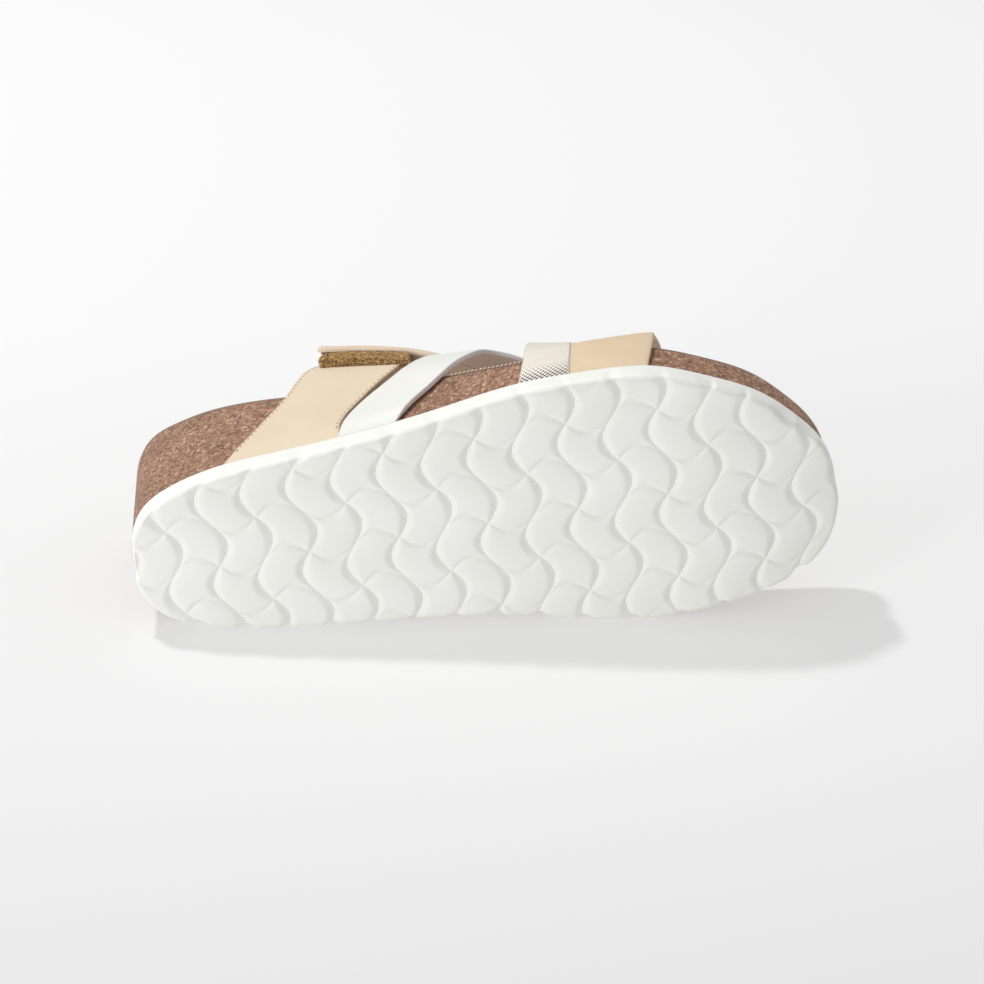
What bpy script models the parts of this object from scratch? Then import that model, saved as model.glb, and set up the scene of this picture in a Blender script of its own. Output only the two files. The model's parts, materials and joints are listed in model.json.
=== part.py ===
"""Strap mule, right foot, lying on its medial side: foam outsole, cork footbed, insole, the joined straps
of the upper, and a closing strap with its hook-and-loop tapes.

The shoe is drawn in its own directions: along from heel to toe, across towards the lateral side, and up from
the tread towards the foot. Sizes are in millimetres until the meshes are made in metres.
"""
import math

import bmesh
import bpy
import numpy as np
from mathutils import Matrix, Vector

MM = 0.001

# Outsole
SOLE_LENGTH = 254.0
SOLE_THICK = 9.0
LUG_TALL = 3.2
RIM_CHAMFER = 1.0
RIM_TOP_ROUND = 0.6
TREAD_MARGIN = 0.8
TOE_SPRING = 10.0
SPRING_START = 195.0
HEEL_TIP_ACROSS = -1.5

# Crossed-wave tread: pitch of its cells, wave height as a share of the pitch, turn from the shoe's axis
PITCH_ALONG = 16.04
PITCH_ACROSS = 16.9
WAVE_SHARE = 0.26
TREAD_TURN = math.radians(6.1)
TREAD_ORIGIN = (45.6, 14.0)
LUG_ROOT_SHARE = (0.90, 0.95)
LUG_TOP_SHARE = (0.82, 0.91)
LUG_SIDE_SPOTS = (-0.78, -0.27, 0.27, 0.78)
LUG_POINTS = 4 * len(LUG_SIDE_SPOTS)
LUG_EDGE_SLOPE = 0.5
LUG_SAMPLES = 9
SMALLEST_LUG_SHARE = 0.22
TREAD_COLUMNS = range(-5, 15)
TREAD_ROWS = range(-5, 5)

# Footbed and insole
PIECE_GAP = 0.3
CORK_INSET_LOW = 2.4
CORK_INSET_HIGH = 0.5
HEEL_BULGE = 2.6
HEEL_BULGE_END = 20.0
RIM_ROUND = 1.4
RIM_ROUND_INSET = 0.8
INSOLE_EDGE_INSET = 0.6
NARROWEST_HALF = 6.0
INSOLE_THICK = 1.4
SPINE_START = 34.0
SPINE_END = 216.0
CUP_INNER = 0.42
CUP_OUTER = 0.96

# Straps
STRAP_THICK = 2.0
STRAP_OFF_CORK = 0.6
STRAP_OVER_RIM = 0.5
STRAP_FOOT = SOLE_THICK + 0.5
LOOP_THICK = 1.35
HOOK_THICK = 0.7
RISE_END = 0.28
DROP_START = 0.55
STRAP_SHARES = (0.0, RISE_END, DROP_START, 0.7, 0.85, 1.0)
ROWS_PER_GIRTH = 44
WALL_SPOTS = 12
ARCH_SPOTS = 49
ALONG_STEP = 0.5
GIRTH_STEP = 0.01

# Weights of the materials for the lying pose, grams per cubic centimetre
FOAM_WEIGHT = 0.25
CORK_WEIGHT = 0.28
LEATHER_WEIGHT = 0.9
SMALLEST_HULL_FACE = 1.0
ROLL_STEPS = 20

STATIONS = 60
FLAT_RING_SHARES = (0.75, 0.5, 0.25, 0.06)
BED_RING_SHARES = (0.92, 0.82, 0.66, 0.44, 0.06)
FINE_STATIONS = 480
CURVE_STEPS = 24
UNWAVE_ROUNDS = 60
DRAW_IN_ROUNDS = 14

# Outline of the outsole's rim, one row per section: along, lateral edge, medial edge
OUTLINE = (
    (6.0, 17.2, -20.0),
    (16.0, 24.6, -27.0),
    (32.0, 30.9, -30.6),
    (56.0, 35.9, -32.2),
    (84.0, 41.4, -32.0),
    (112.0, 48.4, -32.0),
    (140.0, 56.0, -33.8),
    (165.0, 59.2, -37.2),
    (186.0, 59.6, -38.0),
    (206.0, 54.2, -35.8),
    (224.0, 46.0, -32.0),
    (238.0, 34.4, -27.0),
    (248.0, 22.6, -19.5),
)

# Heights of the footbed over the tread, before toe spring, and of the straps' arch, one row per section.
# Shoulder is the arch's roundness: 1 for an ellipse, less for a squarer shoulder, more for a leaner one
HEIGHT_COLUMNS = ("along", "rim_lateral", "rim_medial", "bed", "arch", "shoulder")
HEIGHTS = (
    (0.0, 64.0, 64.0, 49.0, 104.0, 0.86),
    (24.0, 60.0, 60.0, 44.0, 101.0, 0.86),
    (56.0, 53.5, 54.5, 41.0, 97.0, 0.86),
    (90.0, 43.0, 49.0, 36.5, 92.0, 0.90),
    (116.0, 34.0, 42.0, 30.0, 81.0, 1.03),
    (140.0, 27.0, 32.0, 24.0, 69.0, 1.10),
    (162.0, 26.2, 28.5, 21.8, 61.5, 1.23),
    (178.0, 26.0, 27.0, 21.2, 59.0, 1.21),
    (192.0, 26.2, 27.0, 21.9, 59.0, 1.04),
    (205.0, 26.5, 27.0, 22.5, 58.5, 0.98),
    (225.0, 26.5, 26.5, 20.5, 56.0, 1.0),
    (254.0, 26.0, 26.0, 20.5, 50.0, 1.0),
)

# Straps: girth runs from 0 at the lateral foot of the strap to 1 at the medial one. Rear and front are the
# edges along the shoe, lift is the height of the strap's inner face over the arch, and slant is how much
# further round the girth the front edge lies than the rear edge
STRAP_TABLE_COLUMNS = ("girth", "rear", "front", "lift", "slant")
LATERAL_STRAP = (
    (0.00, 36.0, 77.4, 0.0, 0.0),
    (0.03, 40.4, 77.3, 0.0, 0.0),
    (0.065, 44.4, 79.6, 0.0, 0.0),
    (0.10, 48.2, 84.3, 0.0, 0.0),
    (0.13, 51.8, 88.6, 0.0, 0.0),
    (0.16, 55.4, 93.4, 0.0, 0.0),
    (0.19, 58.2, 97.8, 0.0, 0.0),
    (0.22, 60.5, 100.6, 0.0, 0.0),
    (0.27, 64.0, 102.4, 0.0, 0.0),
    (0.34, 70.0, 103.0, 0.0, 0.0),
    (0.45, 80.0, 105.0, 0.0, 0.0),
)
WHITE_STRAP = (
    (0.00, 76.3, 96.6, 0.5, 0.0),
    (0.03, 77.8, 100.3, 0.5, 0.0),
    (0.06, 80.7, 104.9, 0.5, 0.0),
    (0.09, 85.1, 110.4, 0.5, 0.0),
    (0.12, 90.5, 115.3, 0.5, 0.0),
    (0.15, 96.4, 120.3, 0.5, 0.0),
    (0.18, 101.2, 125.2, 0.5, 0.0),
    (0.21, 105.5, 128.0, 0.4, 0.0),
    (0.25, 111.5, 132.2, 0.3, 0.0),
    (0.29, 118.5, 143.0, 0.2, 0.0),
    (0.34, 127.4, 154.0, 0.0, 0.0),
    (0.40, 137.0, 161.5, 0.0, 0.0),
    (0.50, 149.0, 171.0, 0.0, 0.0),
    (0.72, 160.0, 181.0, 0.0, 0.0),
)
SILVER_STRAP = (
    (0.00, 140.0, 157.8, 0.5, 0.0),
    (0.05, 142.0, 158.9, 0.5, 0.0),
    (0.10, 143.6, 159.9, 0.5, 0.0),
    (0.20, 146.0, 161.6, 0.5, 0.0),
    (0.36, 147.5, 163.5, 1.3, 0.0),
    (0.50, 147.5, 163.5, 1.3, 0.0),
    (0.80, 146.0, 162.0, 1.3, 0.0),
    (0.90, 144.5, 161.0, 0.5, 0.0),
    (1.00, 144.0, 160.5, 0.5, 0.0),
)
TOE_BAND = (
    (0.00, 155.8, 185.0, 0.0, 0.0),
    (0.05, 156.9, 186.8, 0.0, 0.0),
    (0.10, 157.9, 188.6, 0.0, 0.0),
    (0.20, 159.6, 191.4, 0.0, 0.0),
    (0.36, 161.5, 194.0, 1.0, 0.0),
    (0.50, 161.5, 195.5, 1.0, 0.0),
    (0.80, 160.0, 194.0, 1.0, 0.0),
    (0.90, 159.0, 191.5, 0.0, 0.0),
    (1.00, 158.5, 190.0, 0.0, 0.0),
)
CLOSING_STRAP = (
    (0.285, 69.0, 112.5, 4.7, -0.02),
    (0.31, 72.0, 119.6, 4.7, -0.01),
    (0.34, 75.5, 126.6, 4.7, 0.0),
    (0.40, 83.0, 134.5, 4.75, 0.0),
    (0.50, 93.0, 140.0, 2.9, 0.0),
    (0.64, 100.0, 141.5, 0.8, 0.0),
    (0.80, 102.0, 141.5, 0.0, 0.0),
    (1.00, 102.0, 140.5, 0.0, 0.0),
)
LOOP_TAPE = (
    (0.241, 70.3, 98.0, 2.2, -0.08),
    (0.30, 73.8, 94.0, 2.2, -0.06),
    (0.40, 81.0, 98.0, 2.2, -0.05),
)
HOOK_TAPE = (
    (0.294, 71.5, 90.5, 3.72, -0.02),
    (0.365, 79.0, 96.0, 3.72, -0.02),
)

# How the closing strap tilts over its tapes: the front edge drops and the rear edge rises
TILT_COLUMNS = ("girth", "drop", "rise")
NO_TILT = (
    (0.0, 0.0, 0.0),
    (1.0, 0.0, 0.0),
)
CLOSING_TILT = (
    (0.285, 4.2, 1.9),
    (0.31, 4.3, 1.8),
    (0.34, 4.5, 1.4),
    (0.40, 4.6, 0.4),
    (0.50, 2.8, 0.0),
    (0.64, 0.7, 0.0),
    (0.80, 0.0, 0.0),
    (1.00, 0.0, 0.0),
)


def smooth_column(rows, columns, name, at):
    """Value of a table's column at places along its first column, by a smooth curve through the rows."""
    table = np.asarray(rows)
    places = table[:, 0]
    values = table[:, columns.index(name)]
    at = np.clip(np.asarray(at, float), places[0], places[-1])
    slopes = np.gradient(values, places)
    low = np.clip(np.searchsorted(places, at, side="right") - 1, 0, len(places) - 2)
    span = places[low + 1] - places[low]
    share = (at - places[low]) / span
    rise = share * share * (3 - 2 * share)
    start_bend = share * (1 - share) ** 2 * span * slopes[low]
    end_bend = share * share * (1 - share) * span * slopes[low + 1]
    return values[low] + (values[low + 1] - values[low]) * rise + start_bend - end_bend


def heights(name, along):
    return smooth_column(HEIGHTS, HEIGHT_COLUMNS, name, along)


def toe_spring(along):
    share = np.clip((np.asarray(along, float) - SPRING_START) / (SOLE_LENGTH - SPRING_START), 0, None)
    return TOE_SPRING * share ** 2


def closed_curve(points, count):
    """Evenly spaced places on the smooth closed curve through the points."""
    points = np.asarray(points, float)
    total = len(points)
    after = np.roll(points, -1, axis=0)
    step = np.linalg.norm(after - points, axis=1)
    step_before = np.roll(step, 1)
    system = np.zeros((total, total))
    for row in range(total):
        system[row, row - 1] = step_before[row]
        system[row, row] = 2 * (step_before[row] + step[row])
        system[row, (row + 1) % total] = step[row]
    slope = (after - points) / step[:, None]
    bend = np.linalg.solve(system, 6 * (slope - np.roll(slope, 1, axis=0)))
    bend_after = np.roll(bend, -1, axis=0)
    share = np.linspace(0, 1, CURVE_STEPS, endpoint=False)[None, :, None]
    length = step[:, None, None]
    run = share * length
    left = length - run
    fine = (bend[:, None] * left ** 3 + bend_after[:, None] * run ** 3) / (6 * length)
    fine = fine + (points[:, None] / length - bend[:, None] * length / 6) * left
    fine = fine + (after[:, None] / length - bend_after[:, None] * length / 6) * run
    fine = fine.reshape(-1, 2)
    ring = np.vstack([fine, fine[:1]])
    walked = np.concatenate([[0], np.cumsum(np.linalg.norm(np.diff(ring, axis=0), axis=1))])
    wanted = np.linspace(0, walked[-1], count, endpoint=False)
    return np.column_stack([np.interp(wanted, walked, ring[:, axis]) for axis in (0, 1)])


def outline_points():
    lateral = [(row[0], row[1]) for row in OUTLINE]
    medial = [(row[0], row[2]) for row in reversed(OUTLINE)]
    return [(0.0, HEEL_TIP_ACROSS)] + lateral + [(SOLE_LENGTH, 0.0)] + medial


def inset(loop, distance):
    """The loop moved inwards by one distance or one for each spot. It runs heel, lateral, toe, medial."""
    ahead = np.roll(loop, -1, axis=0) - np.roll(loop, 1, axis=0)
    ahead = ahead / np.linalg.norm(ahead, axis=1)[:, None]
    inwards = np.column_stack([ahead[:, 1], -ahead[:, 0]])
    return loop + inwards * np.broadcast_to(distance, len(loop))[:, None]


RIM_LOOP = closed_curve(outline_points(), STATIONS)
FINE_LOOP = closed_curve(outline_points(), FINE_STATIONS)
FINE_LATERAL = FINE_LOOP[:int(np.argmax(FINE_LOOP[:, 0])) + 1]
FINE_MEDIAL = FINE_LOOP[int(np.argmax(FINE_LOOP[:, 0])):][::-1]


def edge_lateral(along):
    return np.interp(along, FINE_LATERAL[:, 0], FINE_LATERAL[:, 1])


def edge_medial(along):
    return np.interp(along, FINE_MEDIAL[:, 0], FINE_MEDIAL[:, 1])


def middle(along):
    return (edge_lateral(along) + edge_medial(along)) / 2


def towards_spine(loop, share):
    """The loop drawn in towards the shoe's middle line, share 1 at the edge and 0 on the line."""
    spine_along = np.clip(loop[:, 0], SPINE_START, SPINE_END)
    spine = np.column_stack([spine_along, middle(spine_along)])
    return spine + (loop - spine) * share


def rim_height(along, across):
    """Height of the footbed's rim, blended from the lateral to the medial side."""
    along = np.clip(along, 0, SOLE_LENGTH)
    half = np.maximum((edge_lateral(along) - edge_medial(along)) / 2, NARROWEST_HALF)
    side = np.clip((across - middle(along)) / half, -1, 1)
    lateral = heights("rim_lateral", along)
    medial = heights("rim_medial", along)
    return lateral * (1 + side) / 2 + medial * (1 - side) / 2


def stack(loop, height):
    return np.column_stack([loop, np.broadcast_to(height, len(loop))])


def bed_ring(edge, rim, share):
    """A ring of the footbed's top: the rim outside, the bed along the middle, a smooth cup between them."""
    loop = towards_spine(edge, share)
    cup = np.clip((share - CUP_INNER) / (CUP_OUTER - CUP_INNER), 0, 1)
    cup = cup * cup * (3 - 2 * cup)
    low = heights("bed", np.clip(loop[:, 0], 0, SOLE_LENGTH))
    return stack(loop, low + (rim - low) * cup)


def place(points):
    """From along, across, up in millimetres to the lying shoe's X, Z and Y in metres."""
    points = np.asarray(points, float)
    return points[:, [0, 2, 1]] * MM


def material(name, colour, roughness, metallic=0.0):
    made = bpy.data.materials.new(name)
    made.use_nodes = True
    shader = made.node_tree.nodes["Principled BSDF"]
    shader.inputs["Base Color"].default_value = (*colour, 1.0)
    shader.inputs["Roughness"].default_value = roughness
    shader.inputs["Metallic"].default_value = metallic
    return made


def new_object(name, points, faces, flat_loops=()):
    """Mesh object from points and faces. Flat loops bound one more face, the first outside, the rest holes."""
    mesh = bpy.data.meshes.new(name)
    mesh.from_pydata([tuple(point) for point in place(points)], [], faces)
    work = bmesh.new()
    work.from_mesh(mesh)
    work.verts.ensure_lookup_table()
    borders = []
    for loop in flat_loops:
        for spot, after in zip(loop, loop[1:] + loop[:1]):
            borders.append(work.edges.get((work.verts[spot], work.verts[after])))
    if borders:
        bmesh.ops.triangle_fill(work, edges=borders, use_beauty=True)
    bmesh.ops.triangulate(work, faces=work.faces)
    bmesh.ops.recalc_face_normals(work, faces=work.faces)
    work.to_mesh(mesh)
    work.free()
    made = bpy.data.objects.new(name, mesh)
    bpy.context.collection.objects.link(made)
    return made


def band_faces(count, levels, first=0):
    """Faces between neighbouring rings of equal counts."""
    faces = []
    for level in range(levels - 1):
        low = first + level * count
        high = low + count
        for spot in range(count):
            after = (spot + 1) % count
            faces.append((low + spot, low + after, high + after, high + spot))
    return faces


def ring_solid(name, rings):
    """Closed solid through a list of rings with equal counts, capped at the first and the last."""
    count = len(rings[0])
    last = (len(rings) - 1) * count
    caps = [tuple(range(count)), tuple(range(last, last + count))]
    return new_object(name, np.vstack(rings), band_faces(count, len(rings)) + caps)


def join_solids(target, others):
    """Join solids that run into each other to one, and drop the tools."""
    for other in others:
        joining = target.modifiers.new("join", "BOOLEAN")
        joining.operation = "UNION"
        joining.solver = "EXACT"
        joining.object = other
        graph = bpy.context.evaluated_depsgraph_get()
        joined = bpy.data.meshes.new_from_object(target.evaluated_get(graph))
        target.modifiers.remove(joining)
        spare = target.data
        target.data = joined
        bpy.data.meshes.remove(spare)
        bpy.data.objects.remove(other)
    work = bmesh.new()
    work.from_mesh(target.data)
    bmesh.ops.triangulate(work, faces=work.faces)
    work.to_mesh(target.data)
    work.free()


# Outsole

def tread_to_shoe(cell_along, cell_across):
    """From tread cells to the shoe: the tread's rows run turned from the axis, its columns towards medial."""
    turn_cos = math.cos(TREAD_TURN)
    turn_sin = math.sin(TREAD_TURN)
    along = TREAD_ORIGIN[0] + cell_along * PITCH_ALONG * turn_cos + cell_across * PITCH_ACROSS * turn_sin
    across = TREAD_ORIGIN[1] + cell_along * PITCH_ALONG * turn_sin - cell_across * PITCH_ACROSS * turn_cos
    return np.column_stack([along, across])


def unwave(column, row):
    """Place in the tread where the waved columns and rows have these numbers."""
    cell_along = np.array(column, float)
    cell_across = np.array(row, float)
    for _ in range(UNWAVE_ROUNDS):
        cell_along = 0.5 * cell_along + 0.5 * (column + WAVE_SHARE * np.sin(math.pi * cell_across))
        cell_across = 0.5 * cell_across + 0.5 * (row - WAVE_SHARE * np.sin(math.pi * cell_along))
    return cell_along, cell_across


def lug_loop(column, row, share):
    """Outline of one lug: the sides of its waved cell, drawn in, with the corners left out."""
    run = np.asarray(LUG_SIDE_SPOTS)
    edge = np.ones(len(run))
    side_along = np.concatenate([run, edge, -run, -edge])
    side_across = np.concatenate([-edge, run, edge, -run])
    waved = unwave(column + 0.5 + 0.5 * share[0] * side_along, row + 0.5 + 0.5 * share[1] * side_across)
    return tread_to_shoe(*waved)


def inside_loop(points, loop):
    """Which points lie inside the loop: those with an odd count of the loop's sides ahead of them."""
    start = loop[None]
    end = np.roll(loop, -1, axis=0)[None]
    spots = points[:, None]
    crosses = (start[..., 1] > spots[..., 1]) != (end[..., 1] > spots[..., 1])
    rise = (spots[..., 1] - start[..., 1]) / np.where(crosses, end[..., 1] - start[..., 1], 1.0)
    ahead = spots[..., 0] < start[..., 0] + rise * (end[..., 0] - start[..., 0])
    return (crosses & ahead).sum(axis=1) % 2 == 1


def draw_in(points, centre, loop):
    """Points outside the loop are drawn towards the centre as far as the loop."""
    kept = np.where(inside_loop(points, loop), 1.0, 0.0)
    left_out = kept == 0.0
    step = 0.5
    for _ in range(DRAW_IN_ROUNDS):
        tried = kept + step * left_out
        fits = inside_loop(centre + (points - centre) * tried[:, None], loop)
        kept = np.where(left_out & fits, tried, kept)
        step = step / 2
    return centre + (points - centre) * kept[:, None]


def lug_middle(column, row, loop):
    """Middle of the part of a cell that lies inside the loop, and that part's share of the cell."""
    side = (np.arange(LUG_SAMPLES) + 0.5) / LUG_SAMPLES
    cell_along, cell_across = np.meshgrid(side, side)
    samples = tread_to_shoe(*unwave(column + cell_along.ravel(), row + cell_across.ravel()))
    inside = inside_loop(samples, loop)
    if not inside.any():
        return None, 0.0
    return samples[inside].mean(axis=0), inside.mean()


def lug_rings():
    """Top and root ring of every lug."""
    root_limit = inset(FINE_LOOP, RIM_CHAMFER + TREAD_MARGIN)
    top_limit = inset(FINE_LOOP, RIM_CHAMFER + TREAD_MARGIN + LUG_EDGE_SLOPE)
    rings = []
    for column in TREAD_COLUMNS:
        for row in TREAD_ROWS:
            centre, share = lug_middle(column, row, top_limit)
            if share < SMALLEST_LUG_SHARE:
                continue
            top = draw_in(lug_loop(column, row, LUG_TOP_SHARE), centre, top_limit)
            root = draw_in(lug_loop(column, row, LUG_ROOT_SHARE), centre, root_limit)
            rings.append((stack(top, 0.0), stack(root, LUG_TALL)))
    return rings


def outsole():
    rings = [
        stack(inset(RIM_LOOP, RIM_CHAMFER), LUG_TALL),
        stack(RIM_LOOP, LUG_TALL + RIM_CHAMFER),
        stack(RIM_LOOP, SOLE_THICK - RIM_TOP_ROUND),
        stack(inset(RIM_LOOP, RIM_TOP_ROUND), SOLE_THICK),
    ]
    for share in FLAT_RING_SHARES:
        rings.append(stack(towards_spine(RIM_LOOP, share), SOLE_THICK))
    points = list(np.vstack(rings))
    faces = band_faces(STATIONS, len(rings))
    faces.append(tuple(range(len(points) - STATIONS, len(points))))
    flat_loops = [list(range(STATIONS))]
    for top, root in lug_rings():
        first = len(points)
        points.extend(top)
        points.extend(root)
        faces.append(tuple(range(first, first + LUG_POINTS)))
        faces.extend(band_faces(LUG_POINTS, 2, first))
        flat_loops.append(list(range(first + LUG_POINTS, first + 2 * LUG_POINTS)))
    made = new_object("outsole", points, faces, flat_loops)
    for vertex in made.data.vertices:
        vertex.co.y += float(toe_spring(vertex.co.x / MM)) * MM
    made.data.materials.append(material("outsole_foam", (0.86, 0.87, 0.84), 0.6))
    return made


# Footbed and insole

def with_spring(ring):
    lifted = ring.copy()
    lifted[:, 2] += toe_spring(ring[:, 0])
    return lifted


def cork_edge(distance):
    """The footbed's edge inside the outsole's rim, bulging backwards at the heel."""
    bulge = HEEL_BULGE * np.clip(1 - RIM_LOOP[:, 0] / HEEL_BULGE_END, 0, 1) ** 2
    return inset(RIM_LOOP, distance - bulge)


def footbed():
    floor = SOLE_THICK + PIECE_GAP
    low_edge = cork_edge(CORK_INSET_LOW)
    high_edge = cork_edge(CORK_INSET_HIGH)
    rim = rim_height(RIM_LOOP[:, 0], RIM_LOOP[:, 1]) - INSOLE_THICK - PIECE_GAP
    rings = []
    for share in reversed(FLAT_RING_SHARES):
        rings.append(stack(towards_spine(low_edge, share), floor))
    rings.append(stack(low_edge, floor))
    rings.append(stack(high_edge, rim - RIM_ROUND))
    rings.append(stack(inset(high_edge, RIM_ROUND_INSET), rim))
    for share in BED_RING_SHARES:
        rings.append(bed_ring(high_edge, rim, share))
    made = ring_solid("footbed", [with_spring(ring) for ring in rings])
    made.data.materials.append(material("footbed_cork", (0.30, 0.17, 0.10), 0.85))
    return made


def insole():
    edge = cork_edge(CORK_INSET_HIGH)
    rim = rim_height(RIM_LOOP[:, 0], RIM_LOOP[:, 1])
    under = rim - INSOLE_THICK
    rings = []
    for share in reversed(BED_RING_SHARES):
        rings.append(bed_ring(edge, under, share))
    rings.append(stack(inset(edge, RIM_ROUND_INSET), under))
    rings.append(stack(inset(edge, INSOLE_EDGE_INSET), rim))
    for share in BED_RING_SHARES:
        ring = bed_ring(edge, under, share)
        ring[:, 2] += INSOLE_THICK
        rings.append(ring)
    made = ring_solid("insole", [with_spring(ring) for ring in rings])
    made.data.materials.append(material("insole_suede", (0.24, 0.14, 0.09), 0.9))
    return made


# Straps

def girth_section(along):
    """The arch's section at one place along the shoe, from lateral foot over the top to medial foot."""
    rim_lateral = float(heights("rim_lateral", along)) + STRAP_OVER_RIM
    rim_medial = float(heights("rim_medial", along)) + STRAP_OVER_RIM
    crown = float(heights("arch", along))
    shoulder = float(heights("shoulder", along))
    wall = np.linspace(0, 1, WALL_SPOTS, endpoint=False)
    flare = CORK_INSET_LOW + (CORK_INSET_HIGH - CORK_INSET_LOW) * wall
    lateral_top = float(edge_lateral(along)) - CORK_INSET_HIGH + STRAP_OFF_CORK
    medial_top = float(edge_medial(along)) + CORK_INSET_HIGH - STRAP_OFF_CORK
    lateral_wall = np.column_stack([
        lateral_top + CORK_INSET_HIGH - flare,
        STRAP_FOOT + (rim_lateral - STRAP_FOOT) * wall])
    medial_wall = np.column_stack([
        medial_top - CORK_INSET_HIGH + flare,
        STRAP_FOOT + (rim_medial - STRAP_FOOT) * wall])
    turn = np.linspace(0, math.pi, ARCH_SPOTS)
    lean = (1 + np.cos(turn)) / 2
    spring_height = rim_lateral * lean + rim_medial * (1 - lean)
    side = np.sign(np.cos(turn)) * np.abs(np.cos(turn)) ** shoulder
    rise = np.abs(np.sin(turn)) ** shoulder
    arch_across = (lateral_top + medial_top) / 2 + (lateral_top - medial_top) / 2 * side
    arch_up = spring_height + (crown - spring_height) * rise
    section = np.vstack([lateral_wall, np.column_stack([arch_across, arch_up]), medial_wall[::-1]])
    walked = np.concatenate([[0], np.cumsum(np.linalg.norm(np.diff(section, axis=0), axis=1))])
    return section, walked / walked[-1]


def arch_point(along, girth):
    section, share = girth_section(along)
    across = np.interp(girth, share, section[:, 0])
    height = np.interp(girth, share, section[:, 1])
    return np.array([along, across, height + float(toe_spring(along))])


def arch_outward(along, girth):
    step_along = arch_point(along + ALONG_STEP, girth) - arch_point(along - ALONG_STEP, girth)
    low = max(girth - GIRTH_STEP, 0.0)
    high = min(girth + GIRTH_STEP, 1.0)
    step_girth = arch_point(along, high) - arch_point(along, low)
    outward = np.cross(step_girth, step_along)
    return outward / np.linalg.norm(outward)


def strap(name, rows, thick, tilt=NO_TILT):
    """One strap: a curved bar with an inner and an outer face, edges from its table."""
    table = np.asarray(rows)
    count = 3 + round((table[-1, 0] - table[0, 0]) * ROWS_PER_GIRTH)
    girths = np.linspace(table[0, 0], table[-1, 0], count)
    rear = smooth_column(rows, STRAP_TABLE_COLUMNS, "rear", girths)
    front = smooth_column(rows, STRAP_TABLE_COLUMNS, "front", girths)
    lift = smooth_column(rows, STRAP_TABLE_COLUMNS, "lift", girths)
    slant = smooth_column(rows, STRAP_TABLE_COLUMNS, "slant", girths)
    drop = smooth_column(tilt, TILT_COLUMNS, "drop", girths)
    rise = smooth_column(tilt, TILT_COLUMNS, "rise", girths)
    rings = []
    for row, centre in enumerate(girths):
        inner = []
        outer = []
        for share in STRAP_SHARES:
            along = rear[row] + (front[row] - rear[row]) * share
            girth = centre + slant[row] * (share - 0.5)
            height = lift[row] - drop[row] * max(share - DROP_START, 0) / (1 - DROP_START)
            height += rise[row] * max(RISE_END - share, 0) / RISE_END
            spot = arch_point(along, girth)
            outward = arch_outward(along, girth)
            inner.append(spot + outward * height)
            outer.append(spot + outward * (height + thick))
        rings.append(np.array(inner + outer[::-1]))
    return ring_solid(name, rings)


def upper():
    made = strap("upper", TOE_BAND, STRAP_THICK)
    others = [
        strap("silver_strap", SILVER_STRAP, STRAP_THICK),
        strap("white_strap", WHITE_STRAP, STRAP_THICK),
        strap("lateral_strap", LATERAL_STRAP, STRAP_THICK),
    ]
    join_solids(made, others)
    made.data.materials.append(material("upper_leather", (0.72, 0.55, 0.36), 0.6))
    return made


def closing_strap():
    made = strap("closing_strap", CLOSING_STRAP, STRAP_THICK, CLOSING_TILT)
    made.data.materials.append(material("closing_strap_leather", (0.62, 0.44, 0.26), 0.6))
    return made


def tapes():
    loop_tape = strap("loop_tape", LOOP_TAPE, LOOP_THICK)
    loop_tape.data.materials.append(material("loop_tape_pile", (0.45, 0.30, 0.14), 0.95))
    hook_tape = strap("hook_tape", HOOK_TAPE, HOOK_THICK)
    hook_tape.data.materials.append(material("hook_tape_pile", (0.40, 0.26, 0.12), 0.9))
    return [loop_tape, hook_tape]


# Lying pose

def weigh(piece, density):
    """Weight and balance point of one closed piece."""
    mesh = piece.data
    mesh.calc_loop_triangles()
    corners = np.array([[mesh.vertices[spot].co for spot in face.vertices] for face in mesh.loop_triangles])
    volumes = np.einsum("ij,ij->i", corners[:, 0], np.cross(corners[:, 1], corners[:, 2])) / 6
    balance = (corners.sum(axis=1) / 4 * volumes[:, None]).sum(axis=0) / volumes.sum()
    return volumes.sum() * density, balance


def lay_on_side(pieces, densities):
    """Turn that rests the shoe: roll over the hull's faces until the balance point stays over one."""
    weights = [weigh(piece, density) for piece, density in zip(pieces, densities)]
    total = sum(weight for weight, _ in weights)
    balance = Vector(sum(weight * spot for weight, spot in weights) / total)
    hull = bmesh.new()
    for piece in pieces:
        for vertex in piece.data.vertices:
            hull.verts.new(vertex.co)
    bmesh.ops.convex_hull(hull, input=hull.verts)
    planes = []
    for face in hull.faces:
        if face.calc_area() < SMALLEST_HULL_FACE * MM * MM:
            continue
        normal = face.normal.copy()
        if normal.dot(face.calc_center_median() - balance) < 0:
            normal.negate()
        planes.append((normal, normal.dot(face.verts[0].co - balance)))
    hull.free()
    down = Vector((0, 0, -1))
    for _ in range(ROLL_STEPS):
        reach = [(depth / normal.dot(down), normal) for normal, depth in planes if normal.dot(down) > 0]
        down = min(reach, key=lambda item: item[0])[1]
    return down.rotation_difference(Vector((0, 0, -1))).to_matrix().to_4x4()


def rest_on_floor(pieces, turn):
    """Parent that holds the lying pose, with the middle of the box's floor side at the origin."""
    corners = np.array([turn @ vertex.co for piece in pieces for vertex in piece.data.vertices])
    low = corners.min(axis=0)
    high = corners.max(axis=0)
    shift = Vector((-(low[0] + high[0]) / 2, -(low[1] + high[1]) / 2, -low[2]))
    holder = bpy.data.objects.new("lying_pose", None)
    bpy.context.collection.objects.link(holder)
    holder.matrix_world = Matrix.Translation(shift) @ turn
    for piece in pieces:
        piece.parent = holder


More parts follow.
